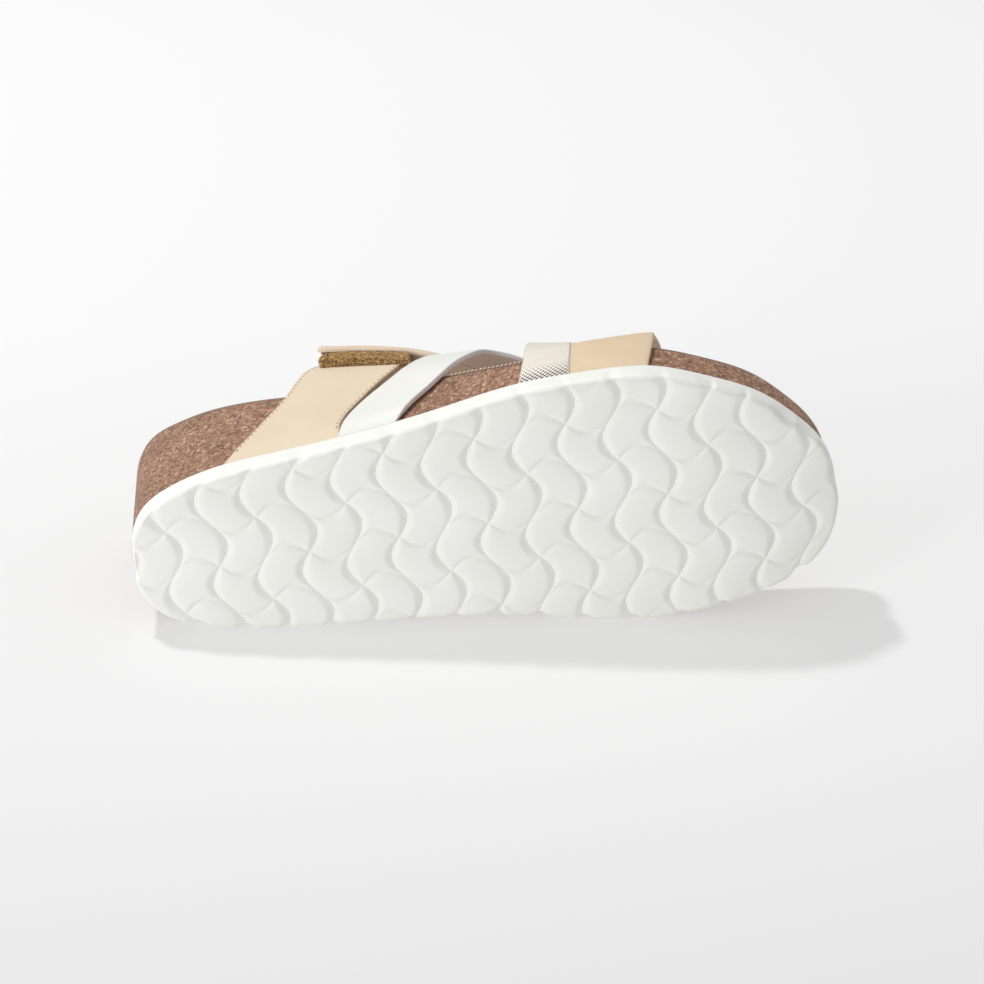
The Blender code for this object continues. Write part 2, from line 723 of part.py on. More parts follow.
def build():
    for old in list(bpy.data.objects):
        bpy.data.objects.remove(old)
    pieces = [outsole(), footbed(), insole(), upper(), closing_strap()] + tapes()
    densities = [FOAM_WEIGHT, CORK_WEIGHT] + [LEATHER_WEIGHT] * (len(pieces) - 2)
    for piece in pieces[1:]:
        piece.data.shade_smooth()
    rest_on_floor(pieces, lay_on_side(pieces, densities))


build()
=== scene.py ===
"""Looks of the strap mule: foam outsole with a wave tread, cork footbed, insole, straps, stitches and pile.

The shoe is drawn in its own directions, in millimetres: along from heel to toe, across towards the lateral
side, and up from the tread towards the foot. It lies on its medial side in the row's frame.
"""
import json
import math

import bmesh
import bpy
import numpy as np
from mathutils import Matrix, Vector, kdtree


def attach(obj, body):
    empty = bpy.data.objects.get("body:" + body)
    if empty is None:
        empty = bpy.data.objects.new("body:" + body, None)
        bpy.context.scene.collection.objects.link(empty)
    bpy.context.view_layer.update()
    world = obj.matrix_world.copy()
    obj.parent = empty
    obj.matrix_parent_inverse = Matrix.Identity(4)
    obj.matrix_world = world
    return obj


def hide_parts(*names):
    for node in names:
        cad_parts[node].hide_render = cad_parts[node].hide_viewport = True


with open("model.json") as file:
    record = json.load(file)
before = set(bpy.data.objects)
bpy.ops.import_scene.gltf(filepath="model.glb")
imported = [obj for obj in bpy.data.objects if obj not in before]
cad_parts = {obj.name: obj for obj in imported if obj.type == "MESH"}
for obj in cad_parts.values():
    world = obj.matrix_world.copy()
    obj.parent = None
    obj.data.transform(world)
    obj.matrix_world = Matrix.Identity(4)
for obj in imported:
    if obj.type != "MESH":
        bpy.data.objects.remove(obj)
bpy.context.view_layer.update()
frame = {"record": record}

MM = 0.001

# Outsole
SOLE_LENGTH = 254.0
SOLE_THICK = 9.0
SOLE_TOP_ROUND = 0.6
SOLE_TOP_TURNS = (45, 90)
SOLE_SHARP = 50
TOE_SPRING = 10.0
SPRING_START = 195.0
HEEL_TIP_ACROSS = -1.5

# Crossed-wave tread: cells in shares of their pitch, depths and reaches in millimetres
PITCH_ALONG = 16.04
PITCH_ACROSS = 16.9
WAVE_SHARE = 0.26
TREAD_TURN = math.radians(6.1)
TREAD_ORIGIN = (45.6, 14.0)
TREAD_COLUMNS = (-5, 15)
TREAD_ROWS = (-5, 5)
UNWAVE_ROUNDS = 60
CELL_STEPS = 20
CELL_CROWDING = 0.09
GROOVE_DEEP = 1.75
GROOVE_FRONT_FLANK = 0.17
GROOVE_REAR_FLANK = 0.2
GROOVE_RISE = 2.2
GROOVE_END_FLANK = 0.29
CROSS_FLANK = 0.12
CROSS_DEEP = 0.5
CORNER_PINCH = 0.6
LUG_CROWN = 0.8
TREAD_EDGE_ROUND = 2.6
TREAD_EDGE_START = 2.8
TREAD_EDGE_SPOTS = (2.1, 1.5, 1.0, 0.6, 0.3, 0.1, 0.0)
CROSS_FADE = 5.0
GROOVE_FLARE = 0.9
FLARE_REACH = 5.0
FLARE_SHALLOW = 0.15
EDGE_NOTCH = 2.6
LATERAL_NOTCH_CUT = 0.65
NOTCH_SHARES = (0.8, 0.5, 0.2, 0.0)
HEEL_LUG = (-1, 0)
FOREFOOT_LUG = (7, 0)
LUG_TOP_SHARE = (0.82, 0.91)
LUG_SIDE_SPOTS = (-0.78, -0.27, 0.27, 0.78)

# Footbed and insole
PIECE_GAP = 0.3
CORK_INSET_LOW = 2.4
CORK_INSET_HIGH = 0.5
HEEL_BULGE = 2.6
HEEL_BULGE_END = 20.0
RIM_ROUND = 1.4
RIM_ROUND_INSET = 0.8
RIM_TURNS = (30, 60, 90)
FOOTBED_SHARP = 60
INSOLE_EDGE_INSET = 0.6
INSOLE_EDGE_TURNS = (0, 30, 60, 90)
INSOLE_SHARP = 70
NARROWEST_HALF = 6.0
INSOLE_THICK = 1.4
SPINE_START = 34.0
SPINE_END = 216.0
CUP_INNER = 0.42
CUP_OUTER = 0.96
BED_STATIONS = 360
BED_RING_SHARES = (0.985, 0.955, 0.92, 0.88, 0.82, 0.74, 0.66, 0.56, 0.44, 0.30, 0.16, 0.04)
WALL_RINGS = 10

# Straps
STRAP_THICK = 2.0
STRAP_OFF_CORK = 0.6
STRAP_OVER_RIM = 0.5
STRAP_FOOT = SOLE_THICK + 0.5
LOOP_THICK = 1.35
HOOK_THICK = 0.7
FOOT_SKIVE = 0.45
FOOT_REACH = 9.0
DIP_START = 0.65
STRAP_EDGE_ROUND = 0.55
EDGE_ROUND_SHARE = 0.4
STRAP_EDGE_TURNS = (0, 30, 60, 90)
STRAP_END_CORNER = 2.0
STRAP_END_THIN = 0.9
STRAP_END_ROWS = (0.1, 0.3, 0.6, 1.0, 1.5)
STRAP_SHARP = 60
NO_END_NEAR = 99.0
OUTER_FACE = 0
CUT_EDGE = 1
LINING_FACE = 2
STRAP_STEPS = 18
STRAP_LEAST_ROWS = 8
STRAP_ROWS_PER_GIRTH = 190
WALL_SPOTS = 12
ARCH_SPOTS = 49
ARCH_ALONG = np.arange(30.0, 207.0, 1.0)
ARCH_GIRTH_STEPS = 400
ARCH_LAST_SHARE = 0.001
OUTWARD_STEP_ALONG = 1.0
OUTWARD_STEP_GIRTH = 0.012

# Stitches: runs round the girth for the straps and along the shoe for the insole's rim
STITCH_INSET = 1.3
STITCH_LINE_SPOTS = 80
LATERAL_REAR_RUN = (0.03, 0.33)
LATERAL_FRONT_RUN = (0.03, 0.36)
CLOSING_RUN = (0.296, 0.965)
RIM_STITCH_RUN = (100.0, 152.0)
RIM_STITCH_DROP = 0.8
RIM_STITCH_SIZES = {"Pitch": 0.0016, "Length": 0.001, "Width": 0.0007, "Height": 0.0006}

# Pile of the two tapes: turns in degrees, lean in radians, sizes in shares
FIBRE_SWEEP = 210
FIBRE_LEAN = 0.8
FIBRE_SIZES = (0.6, 1.25)
LOOP_SEED = 7
HOOK_SEED = 11

# Fine steps of the outsole's outline
OUTLINE_STATIONS = 2000
CURVE_STEPS = 48

# Outline of the outsole's rim, one row per section: along, lateral edge, medial edge
OUTLINE = (
    (6.0, 17.2, -20.0),
    (16.0, 24.6, -27.0),
    (32.0, 30.9, -30.6),
    (56.0, 35.9, -32.2),
    (84.0, 41.4, -32.0),
    (112.0, 48.4, -32.0),
    (140.0, 56.0, -33.8),
    (165.0, 59.2, -37.2),
    (186.0, 59.6, -38.0),
    (206.0, 54.2, -35.8),
    (224.0, 46.0, -32.0),
    (238.0, 34.4, -27.0),
    (248.0, 22.6, -19.5),
)

# Heights of the footbed over the tread, before toe spring, and of the straps' arch, one row per section.
# Shoulder is the arch's roundness: 1 for an ellipse, less for a squarer shoulder, more for a leaner one
HEIGHT_COLUMNS = ("along", "rim_lateral", "rim_medial", "bed", "arch", "shoulder")
HEIGHTS = (
    (0.0, 64.0, 64.0, 49.0, 104.0, 0.86),
    (24.0, 60.0, 60.0, 44.0, 101.0, 0.86),
    (56.0, 53.5, 54.5, 41.0, 97.0, 0.86),
    (90.0, 43.0, 49.0, 36.5, 92.0, 0.90),
    (116.0, 34.0, 42.0, 30.0, 81.0, 1.03),
    (140.0, 27.0, 32.0, 24.0, 69.0, 1.10),
    (162.0, 26.2, 28.5, 21.8, 61.5, 1.23),
    (178.0, 26.0, 27.0, 21.2, 59.0, 1.21),
    (192.0, 26.2, 27.0, 21.9, 59.0, 1.04),
    (205.0, 26.5, 27.0, 22.5, 58.5, 0.98),
    (225.0, 26.5, 26.5, 20.5, 56.0, 1.0),
    (254.0, 26.0, 26.0, 20.5, 50.0, 1.0),
)

# Straps: girth runs from 0 at the lateral foot of the strap to 1 at the medial one. Rear and front are the
# edges along the shoe, lift is the height of the strap's inner face over the arch, and slant is how much
# further round the girth the front edge lies than the rear edge
STRAP_TABLE_COLUMNS = ("girth", "rear", "front", "lift", "slant")
LATERAL_STRAP = (
    (0.00, 34.6, 77.4, 0.0, 0.0),
    (0.03, 39.2, 77.3, 0.0, 0.0),
    (0.065, 43.9, 79.6, 0.0, 0.0),
    (0.10, 48.2, 84.3, 0.0, 0.0),
    (0.13, 51.8, 88.6, 0.0, 0.0),
    (0.16, 55.4, 93.4, 0.0, 0.0),
    (0.19, 58.2, 97.8, 0.0, 0.0),
    (0.22, 60.5, 100.6, 0.0, 0.0),
    (0.27, 64.0, 102.4, 0.0, 0.0),
    (0.34, 70.0, 103.0, 0.0, 0.0),
    (0.45, 80.0, 105.0, 0.0, 0.0),
)
WHITE_STRAP = (
    (0.00, 76.3, 96.6, 0.5, 0.0),
    (0.03, 77.8, 100.3, 0.5, 0.0),
    (0.06, 80.7, 104.9, 0.5, 0.0),
    (0.09, 85.1, 110.4, 0.5, 0.0),
    (0.12, 90.5, 115.3, 0.5, 0.0),
    (0.15, 96.4, 120.3, 0.5, 0.0),
    (0.18, 101.2, 125.6, 0.5, 0.0),
    (0.21, 105.5, 129.0, 0.4, 0.0),
    (0.25, 111.5, 133.4, 0.3, 0.0),
    (0.29, 118.5, 143.0, 0.2, 0.0),
    (0.34, 127.4, 154.0, 0.0, 0.0),
    (0.40, 137.0, 161.5, 0.0, 0.0),
    (0.50, 149.0, 171.0, 0.0, 0.0),
    (0.72, 160.0, 181.0, 0.0, 0.0),
)
SILVER_STRAP = (
    (0.00, 140.0, 157.8, 0.5, 0.0),
    (0.05, 142.0, 158.9, 0.5, 0.0),
    (0.10, 143.6, 159.9, 0.5, 0.0),
    (0.20, 146.0, 161.6, 0.5, 0.0),
    (0.36, 147.5, 163.5, 1.3, 0.0),
    (0.50, 147.5, 163.5, 1.3, 0.0),
    (0.80, 146.0, 162.0, 1.3, 0.0),
    (0.90, 144.5, 161.0, 0.5, 0.0),
    (1.00, 144.0, 160.5, 0.5, 0.0),
)
TOE_BAND = (
    (0.00, 155.8, 185.0, 0.0, 0.0),
    (0.05, 156.9, 186.8, 0.0, 0.0),
    (0.10, 157.9, 188.6, 0.0, 0.0),
    (0.20, 159.6, 191.4, 0.0, 0.0),
    (0.27, 160.6, 194.6, 0.4, 0.0),
    (0.36, 161.5, 196.6, 1.0, 0.0),
    (0.50, 161.5, 197.4, 1.0, 0.0),
    (0.80, 160.0, 196.0, 1.0, 0.0),
    (0.90, 159.0, 192.5, 0.0, 0.0),
    (1.00, 158.5, 190.0, 0.0, 0.0),
)
CLOSING_STRAP = (
    (0.285, 69.0, 112.5, 4.7, -0.02),
    (0.31, 72.0, 119.6, 4.7, -0.01),
    (0.34, 75.5, 126.6, 4.7, 0.0),
    (0.40, 83.0, 134.5, 4.75, 0.0),
    (0.50, 93.0, 140.0, 2.9, 0.0),
    (0.64, 100.0, 141.5, 0.8, 0.0),
    (0.80, 102.0, 141.5, 0.0, 0.0),
    (1.00, 102.0, 140.5, 0.0, 0.0),
)
LOOP_TAPE = (
    (0.241, 70.3, 103.0, 2.2, -0.08),
    (0.30, 73.8, 102.0, 2.2, -0.06),
    (0.40, 81.0, 102.0, 2.2, -0.05),
)
HOOK_TAPE = (
    (0.294, 71.5, 99.0, 3.9, -0.02),
    (0.365, 79.0, 103.0, 3.9, -0.02),
)

# Extra height at a strap's rear and front edges, and how far it dips near the front: the closing strap tilts
# over its tapes, the pile swells under it, and the silver strap and the toe band lean a little
TILT_COLUMNS = ("girth", "rear", "front", "dip")
NO_TILT = (
    (0.0, 0.0, 0.0, 0.0),
    (1.0, 0.0, 0.0, 0.0),
)
CLOSING_TILT = (
    (0.285, 2.7, -2.65, 2.8),
    (0.31, 2.4, -2.9, 2.2),
    (0.34, 1.8, -3.3, 1.3),
    (0.40, 0.6, -4.0, 0.6),
    (0.50, 0.0, -2.4, 0.0),
    (0.64, 0.0, -0.6, 0.0),
    (0.80, 0.0, 0.0, 0.0),
    (1.00, 0.0, 0.0, 0.0),
)
SILVER_TILT = (
    (0.00, 0.0, 0.0, 0.0),
    (0.06, 0.1, -0.1, 0.0),
    (0.15, 0.6, -0.6, 0.0),
    (0.50, 0.6, -0.6, 0.0),
    (0.85, 0.2, -0.2, 0.0),
    (1.00, 0.0, 0.0, 0.0),
)
TOE_TILT = (
    (0.00, 0.0, 0.0, 0.0),
    (0.06, -0.1, 0.1, 0.0),
    (0.15, -0.6, 0.8, 0.0),
    (0.50, -0.6, 0.8, 0.0),
    (0.85, -0.2, 0.2, 0.0),
    (1.00, 0.0, 0.0, 0.0),
)
PILE_SWELL = (
    (0.241, 1.7, -0.5, 0.0),
    (0.27, 2.7, -0.6, 0.0),
    (0.30, 2.9, -0.6, 0.0),
    (0.40, 1.1, -0.3, 0.0),
)

# Camera, in the shoe's own directions: its place in millimetres, and where right, down and away point
CAMERA_PLACE = (100.93, 398.56, -710.5)
CAMERA_RIGHT = (0.99727, -0.04142, -0.06105)
CAMERA_DOWN = (-0.06528, -0.88100, -0.46860)
CAMERA_LENS = 84.15
SENSOR = 36.0

# Floor's painted light falloff from front to back, darker at the front, over a run in metres, and how much of
# it glows as painted light
FLOOR_REACH = 4.0
FLOOR_RUN = (-0.4, 0.8)
FLOOR_GLOW = 0.5
FLOOR_FALLOFF_TONES = ((0.0, 0.735), (0.15, 0.81), (0.24, 0.855), (0.51, 0.915), (0.86, 0.935))

# Lights: places in metres, the width of their squares, and power
LIGHT_AIM = (0.0, 0.0, 0.03)
KEY_PLACE = (-0.68, 0.50, 1.8)
KEY_WIDTH = 0.14
KEY_POWER = 18.5
FILL_PLACE = (-1.65, -1.45, 0.6)
FILL_WIDTH = 0.9
FILL_POWER = 18.0
WORLD_STRENGTH = 0.495


# Shape of the shoe

def smooth_column(rows, columns, name, at):
    """Value of a table's column at places along its first column, by a smooth curve through the rows."""
    table = np.asarray(rows)
    places = table[:, 0]
    values = table[:, columns.index(name)]
    at = np.clip(np.asarray(at, float), places[0], places[-1])
    slopes = np.gradient(values, places)
    low = np.clip(np.searchsorted(places, at, side="right") - 1, 0, len(places) - 2)
    span = places[low + 1] - places[low]
    share = (at - places[low]) / span
    start_bend = share * (1 - share) ** 2 * span * slopes[low]
    end_bend = share * share * (1 - share) * span * slopes[low + 1]
    return values[low] + (values[low + 1] - values[low]) * rise(share) + start_bend - end_bend


def rise(share):
    """Smooth step from 0 to 1."""
    share = np.clip(share, 0, 1)
    return share * share * (3 - 2 * share)


def heights(name, along):
    return smooth_column(HEIGHTS, HEIGHT_COLUMNS, name, along)


def toe_spring(along):
    share = np.clip((np.asarray(along, float) - SPRING_START) / (SOLE_LENGTH - SPRING_START), 0, None)
    return TOE_SPRING * share ** 2


def closed_curve(points, count):
    """Evenly spaced places on the smooth closed curve through the points."""
    points = np.asarray(points, float)
    total = len(points)
    after = np.roll(points, -1, axis=0)
    step = np.linalg.norm(after - points, axis=1)
    step_before = np.roll(step, 1)
    system = np.zeros((total, total))
    for row in range(total):
        system[row, row - 1] = step_before[row]
        system[row, row] = 2 * (step_before[row] + step[row])
        system[row, (row + 1) % total] = step[row]
    slope = (after - points) / step[:, None]
    bend = np.linalg.solve(system, 6 * (slope - np.roll(slope, 1, axis=0)))
    bend_after = np.roll(bend, -1, axis=0)
    share = np.linspace(0, 1, CURVE_STEPS, endpoint=False)[None, :, None]
    length = step[:, None, None]
    run = share * length
    left = length - run
    fine = (bend[:, None] * left ** 3 + bend_after[:, None] * run ** 3) / (6 * length)
    fine = fine + (points[:, None] / length - bend[:, None] * length / 6) * left
    fine = fine + (after[:, None] / length - bend_after[:, None] * length / 6) * run
    fine = fine.reshape(-1, 2)
    ring = np.vstack([fine, fine[:1]])
    walked = np.concatenate([[0], np.cumsum(np.linalg.norm(np.diff(ring, axis=0), axis=1))])
    wanted = np.linspace(0, walked[-1], count, endpoint=False)
    return np.column_stack([np.interp(wanted, walked, ring[:, axis]) for axis in (0, 1)])


def outline_points():
    lateral = [(row[0], row[1]) for row in OUTLINE]
    medial = [(row[0], row[2]) for row in reversed(OUTLINE)]
    return [(0.0, HEEL_TIP_ACROSS)] + lateral + [(SOLE_LENGTH, 0.0)] + medial


def inwards(loop):
    """Inward direction at each spot of a loop that runs heel, lateral, toe, medial."""
    ahead = np.roll(loop, -1, axis=0) - np.roll(loop, 1, axis=0)
    ahead = ahead / np.linalg.norm(ahead, axis=1)[:, None]
    return np.column_stack([ahead[:, 1], -ahead[:, 0]])


def inset(loop, distance):
    return loop + inwards(loop) * np.broadcast_to(distance, len(loop))[:, None]


FINE_LOOP = closed_curve(outline_points(), OUTLINE_STATIONS)
BED_LOOP = closed_curve(outline_points(), BED_STATIONS)
FINE_LATERAL = FINE_LOOP[:int(np.argmax(FINE_LOOP[:, 0])) + 1]
FINE_MEDIAL = FINE_LOOP[int(np.argmax(FINE_LOOP[:, 0])):][::-1]


def edge_lateral(along):
    return np.interp(along, FINE_LATERAL[:, 0], FINE_LATERAL[:, 1])


def edge_medial(along):
    return np.interp(along, FINE_MEDIAL[:, 0], FINE_MEDIAL[:, 1])


def middle(along):
    return (edge_lateral(along) + edge_medial(along)) / 2


def towards_spine(loop, share):
    """The loop drawn in towards the shoe's middle line, share 1 at the edge and 0 on the line."""
    spine_along = np.clip(loop[:, 0], SPINE_START, SPINE_END)
    spine = np.column_stack([spine_along, middle(spine_along)])
    return spine + (loop - spine) * share


def rim_height(along, across):
    """Height of the footbed's rim, blended from the lateral to the medial side."""
    along = np.clip(along, 0, SOLE_LENGTH)
    half = np.maximum((edge_lateral(along) - edge_medial(along)) / 2, NARROWEST_HALF)
    side = np.clip((across - middle(along)) / half, -1, 1)
    return heights("rim_lateral", along) * (1 + side) / 2 + heights("rim_medial", along) * (1 - side) / 2


def stack(loop, height):
    return np.column_stack([loop, np.broadcast_to(height, len(loop))])


def bed_ring(edge, rim, share):
    """A ring of the footbed's top: the rim outside, the bed along the middle, a smooth cup between them."""
    loop = towards_spine(edge, share)
    cup = rise((share - CUP_INNER) / (CUP_OUTER - CUP_INNER))
    low = heights("bed", np.clip(loop[:, 0], 0, SOLE_LENGTH))
    return stack(loop, low + (rim - low) * cup)


def with_spring(points):
    lifted = points.copy()
    lifted[:, 2] += toe_spring(points[:, 0])
    return lifted


# Crossed-wave tread

def tread_to_shoe(cell_along, cell_across):
    """From tread cells to the shoe: the tread's rows run turned from the axis, its columns towards medial."""
    turn_cos = math.cos(TREAD_TURN)
    turn_sin = math.sin(TREAD_TURN)
    along = TREAD_ORIGIN[0] + cell_along * PITCH_ALONG * turn_cos + cell_across * PITCH_ACROSS * turn_sin
    across = TREAD_ORIGIN[1] + cell_along * PITCH_ALONG * turn_sin - cell_across * PITCH_ACROSS * turn_cos
    return np.column_stack([along, across])


def unwave(column, row):
    """Place in the tread where the waved columns and rows have these numbers."""
    cell_along = np.array(column, float)
    cell_across = np.array(row, float)
    for _ in range(UNWAVE_ROUNDS):
        cell_along = 0.5 * cell_along + 0.5 * (column + WAVE_SHARE * np.sin(math.pi * cell_across))
        cell_across = 0.5 * cell_across + 0.5 * (row - WAVE_SHARE * np.sin(math.pi * cell_along))
    return cell_along, cell_across


def tread_cells(spots):
    """Waved columns and rows of the tread at spots of the shoe."""
    turn_cos = math.cos(TREAD_TURN)
    turn_sin = math.sin(TREAD_TURN)
    along, across = (np.asarray(spots) - TREAD_ORIGIN).T
    cell_along = (along * turn_cos + across * turn_sin) / PITCH_ALONG
    cell_across = (along * turn_sin - across * turn_cos) / PITCH_ACROSS
    column = cell_along - WAVE_SHARE * np.sin(math.pi * cell_across)
    row = cell_across + WAVE_SHARE * np.sin(math.pi * cell_along)
    return column, row


def lug_centre(column, row):
    """Middle of the flat top of one lug."""
    run = np.asarray(LUG_SIDE_SPOTS)
    edge = np.ones(len(run))
    side_along = np.concatenate([run, edge, -run, -edge])
    side_across = np.concatenate([-edge, run, edge, -run])
    top_column = column + 0.5 + 0.5 * LUG_TOP_SHARE[0] * side_along
    top_row = row + 0.5 + 0.5 * LUG_TOP_SHARE[1] * side_across
    return tread_to_shoe(*unwave(top_column, top_row)).mean(axis=0)


# From the shoe's own directions to the row's frame

def lying_pose():
    """Directions of along, across and up in the row's frame, and where the shoe's zero lies. The sole mounts
    give both."""
    mounts = {mount["name"]: mount for mount in frame["record"]["mounts"]}
    heel = np.array(mounts["sole_heel"]["pos_m"])
    forefoot = np.array(mounts["sole_forefoot"]["pos_m"])
    up = -np.array(mounts["sole_heel"]["axis"])
    up = up / np.linalg.norm(up)
    drawn_heel = lug_centre(*HEEL_LUG)
    drawn_run = lug_centre(*FOREFOOT_LUG) - drawn_heel
    drawn_run = drawn_run / np.linalg.norm(drawn_run)
    run = forefoot - heel
    run = run - up * (run @ up)
    run = run / np.linalg.norm(run)
    side = np.cross(run, up)
    along = drawn_run[0] * run - drawn_run[1] * side
    across = drawn_run[1] * run + drawn_run[0] * side
    zero = heel - (along * drawn_heel[0] + across * drawn_heel[1]) * MM
    return np.array([along, across, up]), zero


SHOE_DIRECTIONS, SHOE_ZERO = lying_pose()


def to_row(points):
    """Points of the shoe in millimetres as points of the row's frame in metres."""
    return np.asarray(points, float) @ SHOE_DIRECTIONS * MM + SHOE_ZERO


# Meshes

def add_object(name, data):
    made = bpy.data.objects.new(name, data)
    bpy.context.scene.collection.objects.link(made)
    return made


def new_piece(name, points, faces, finishes, face_finish=None, uv=None, marks=None):
    """Mesh piece of the shoe. Finishes are its materials, face_finish a number for each face, uv a place on
    the material for each point, marks named values for each point."""
    mesh = bpy.data.meshes.new(name)
    mesh.from_pydata([tuple(point) for point in to_row(points)], [], faces)
    for finish in finishes:
        mesh.materials.append(finish)
    if face_finish is not None:
        mesh.polygons.foreach_set("material_index", np.asarray(face_finish, np.int32))
    if uv is not None:
        layer = mesh.uv_layers.new(name="surface")
        corner = np.zeros(len(mesh.loops), np.int32)
        mesh.loops.foreach_get("vertex_index", corner)
        layer.data.foreach_set("uv", np.asarray(uv, np.float32)[corner].ravel())
    for mark, values in (marks or {}).items():
        held = mesh.attributes.new(mark, "FLOAT", "POINT")
        held.data.foreach_set("value", np.asarray(values, np.float32))
    return add_object(name, mesh)


def outwards(piece, sharp):
    """Faces of a closed piece turned outwards, shaded smooth, sharp past an angle in degrees."""
    work = bmesh.new()
    work.from_mesh(piece.data)
    bmesh.ops.recalc_face_normals(work, faces=work.faces)
    work.to_mesh(piece.data)
    work.free()
    piece.data.shade_smooth()
    piece.data.set_sharp_from_angle(angle=math.radians(sharp))
    return piece


def band_faces(count, levels):
    """Faces between neighbouring rings of equal counts."""
    faces = []
    for level in range(levels - 1):
        low = level * count
        high = low + count
        for spot in range(count):
            after = (spot + 1) % count
            faces.append((low + spot, low + after, high + after, high + spot))
    return faces


# Shader nodes

def link(tree, source, socket):
    """Another node's output linked to a socket, or a plain value set on it."""
    if isinstance(source, bpy.types.NodeSocket):
        tree.links.new(source, socket)
    else:
        socket.default_value = source


def node(tree, kind, inputs=None, **settings):
    made = tree.nodes.new(kind)
    for name, value in settings.items():
        setattr(made, name, value)
    for name, value in (inputs or {}).items():
        link(tree, value, made.inputs[name])
    return made


def colour(red, green, blue):
    return (red, green, blue, 1.0)


def ramp(tree, value, stops):
    """Colours by a value, from stops of place and colour."""
    made = node(tree, "ShaderNodeValToRGB", {"Fac": value})
    elements = made.color_ramp.elements
    while len(elements) < len(stops):
        elements.new(0.5)
    for element, (place, shade) in zip(elements, stops):
        element.position = place
        element.color = shade
    return made.outputs["Color"]


def mix(tree, share, first, second, blend="MIX"):
    made = node(tree, "ShaderNodeMix", {0: share, 6: first, 7: second}, data_type="RGBA", blend_type=blend)
    return made.outputs[2]


def maths(tree, operation, first, second=0.0):
    return node(tree, "ShaderNodeMath", {0: first, 1: second}, operation=operation).outputs[0]


def vector_maths(tree, operation, first, second):
    return node(tree, "ShaderNodeVectorMath", {0: first, 1: second}, operation=operation).outputs[0]


def object_place(tree):
    return node(tree, "ShaderNodeTexCoord").outputs["Object"]


def noise(tree, place, scale, detail):
    made = node(tree, "ShaderNodeTexNoise", {"Vector": place, "Scale": scale, "Detail": detail})
    return made.outputs["Fac"]


def spread(tree, value, low, high, to_low=0.0, to_high=1.0):
    """A value's run from low to high, spread over another run and held at its ends."""
    made = node(tree, "ShaderNodeMapRange", {
        "Value": value, "From Min": low, "From Max": high, "To Min": to_low, "To Max": to_high})
    return made.outputs["Result"]


def new_group(name, inputs, outputs):
    """Shader group with named values in and out."""
    made = bpy.data.node_groups.new(name, "ShaderNodeTree")
    for label, value in inputs:
        made.interface.new_socket(label, in_out="INPUT", socket_type="NodeSocketFloat").default_value = value
    for label in outputs:
        made.interface.new_socket(label, in_out="OUTPUT", socket_type="NodeSocketFloat")
    return made, node(made, "NodeGroupInput").outputs, node(made, "NodeGroupOutput").inputs


def grain_group():
    """Pebbled grain with fine pores: a height for the bump, and a slow mottle of the colour."""
    tree, given, put = new_group("leather_grain", (("Grain", 900.0), ("Mottle", 60.0)), ("Height", "Mottle"))
    place = object_place(tree)
    pebbles = {"Vector": place, "Scale": given["Grain"]}
    cells = node(tree, "ShaderNodeTexVoronoi", pebbles, feature="SMOOTH_F1").outputs["Distance"]
    fineness = maths(tree, "MULTIPLY", given["Grain"], 1.7)
    pores = node(tree, "ShaderNodeTexNoise", {
        "Vector": place, "Scale": fineness, "Detail": 4.0, "Roughness": 0.6}).outputs["Fac"]
    pebble = maths(tree, "SUBTRACT", 1.0, cells)
    link(tree, maths(tree, "ADD", pebble, maths(tree, "MULTIPLY", pores, 0.6)), put["Height"])
    link(tree, noise(tree, place, given["Mottle"], 5.0), put["Mottle"])
    return tree


def wear_group():
    """Wear along a strap's edges: near 1 at the edge, broken up by noise, 0 inside."""
    tree, given, put = new_group("edge_wear", (("Reach", 2.0), ("Breakup", 300.0)), ("Wear",))
    edge = node(tree, "ShaderNodeAttribute", attribute_name="edge_near").outputs["Fac"]
    place = object_place(tree)
    patches = spread(tree, noise(tree, place, given["Breakup"], 4.0), 0.3, 0.7, 0.4, 1.0)
    near = maths(tree, "SUBTRACT", 1.0, maths(tree, "DIVIDE", edge, given["Reach"]))
    broken = maths(tree, "MULTIPLY", near, patches)
    link(tree, maths(tree, "MAXIMUM", broken, 0.0), put["Wear"])
    return tree


GRAIN = grain_group()
WEAR = wear_group()


def new_finish(name, roughness, **sockets):
    """Material with its shader, constant values set on the shader's own sockets."""
    made = bpy.data.materials.new(name)
    made.use_nodes = True
    tree = made.node_tree
    shader = tree.nodes["Principled BSDF"]
    shader.inputs["Roughness"].default_value = roughness
    for label, value in sockets.items():
        shader.inputs[label.replace("_", " ")].default_value = value
    return made, tree, shader


def bump(tree, shader, height, strength, distance):
    made = node(tree, "ShaderNodeBump", {"Height": height, "Strength": strength, "Distance": distance})
    link(tree, made.outputs["Normal"], shader.inputs["Normal"])


def leather(name, base, shade, worn_tone, roughness, grain, depth, mottle=55.0, wear_share=0.5, **sockets):
    """Leather with grain, colour mottled between base and shade, and edges worn to a tone of their own."""
    made, tree, shader = new_finish(name, roughness, **sockets)
    grained = node(tree, "ShaderNodeGroup", node_tree=GRAIN)
    grained.inputs["Grain"].default_value = grain
    grained.inputs["Mottle"].default_value = mottle
    worn = node(tree, "ShaderNodeGroup", node_tree=WEAR)
    mottled = mix(tree, spread(tree, grained.outputs["Mottle"], 0.3, 0.72), base, shade)
    edge_share = maths(tree, "MULTIPLY", worn.outputs["Wear"], wear_share)
    link(tree, mix(tree, edge_share, mottled, worn_tone), shader.inputs["Base Color"])
    rough = spread(tree, grained.outputs["Height"], 0.4, 1.4, roughness + 0.08, roughness - 0.06)
    link(tree, rough, shader.inputs["Roughness"])
    bump(tree, shader, grained.outputs["Height"], depth, 0.0002)
    return made


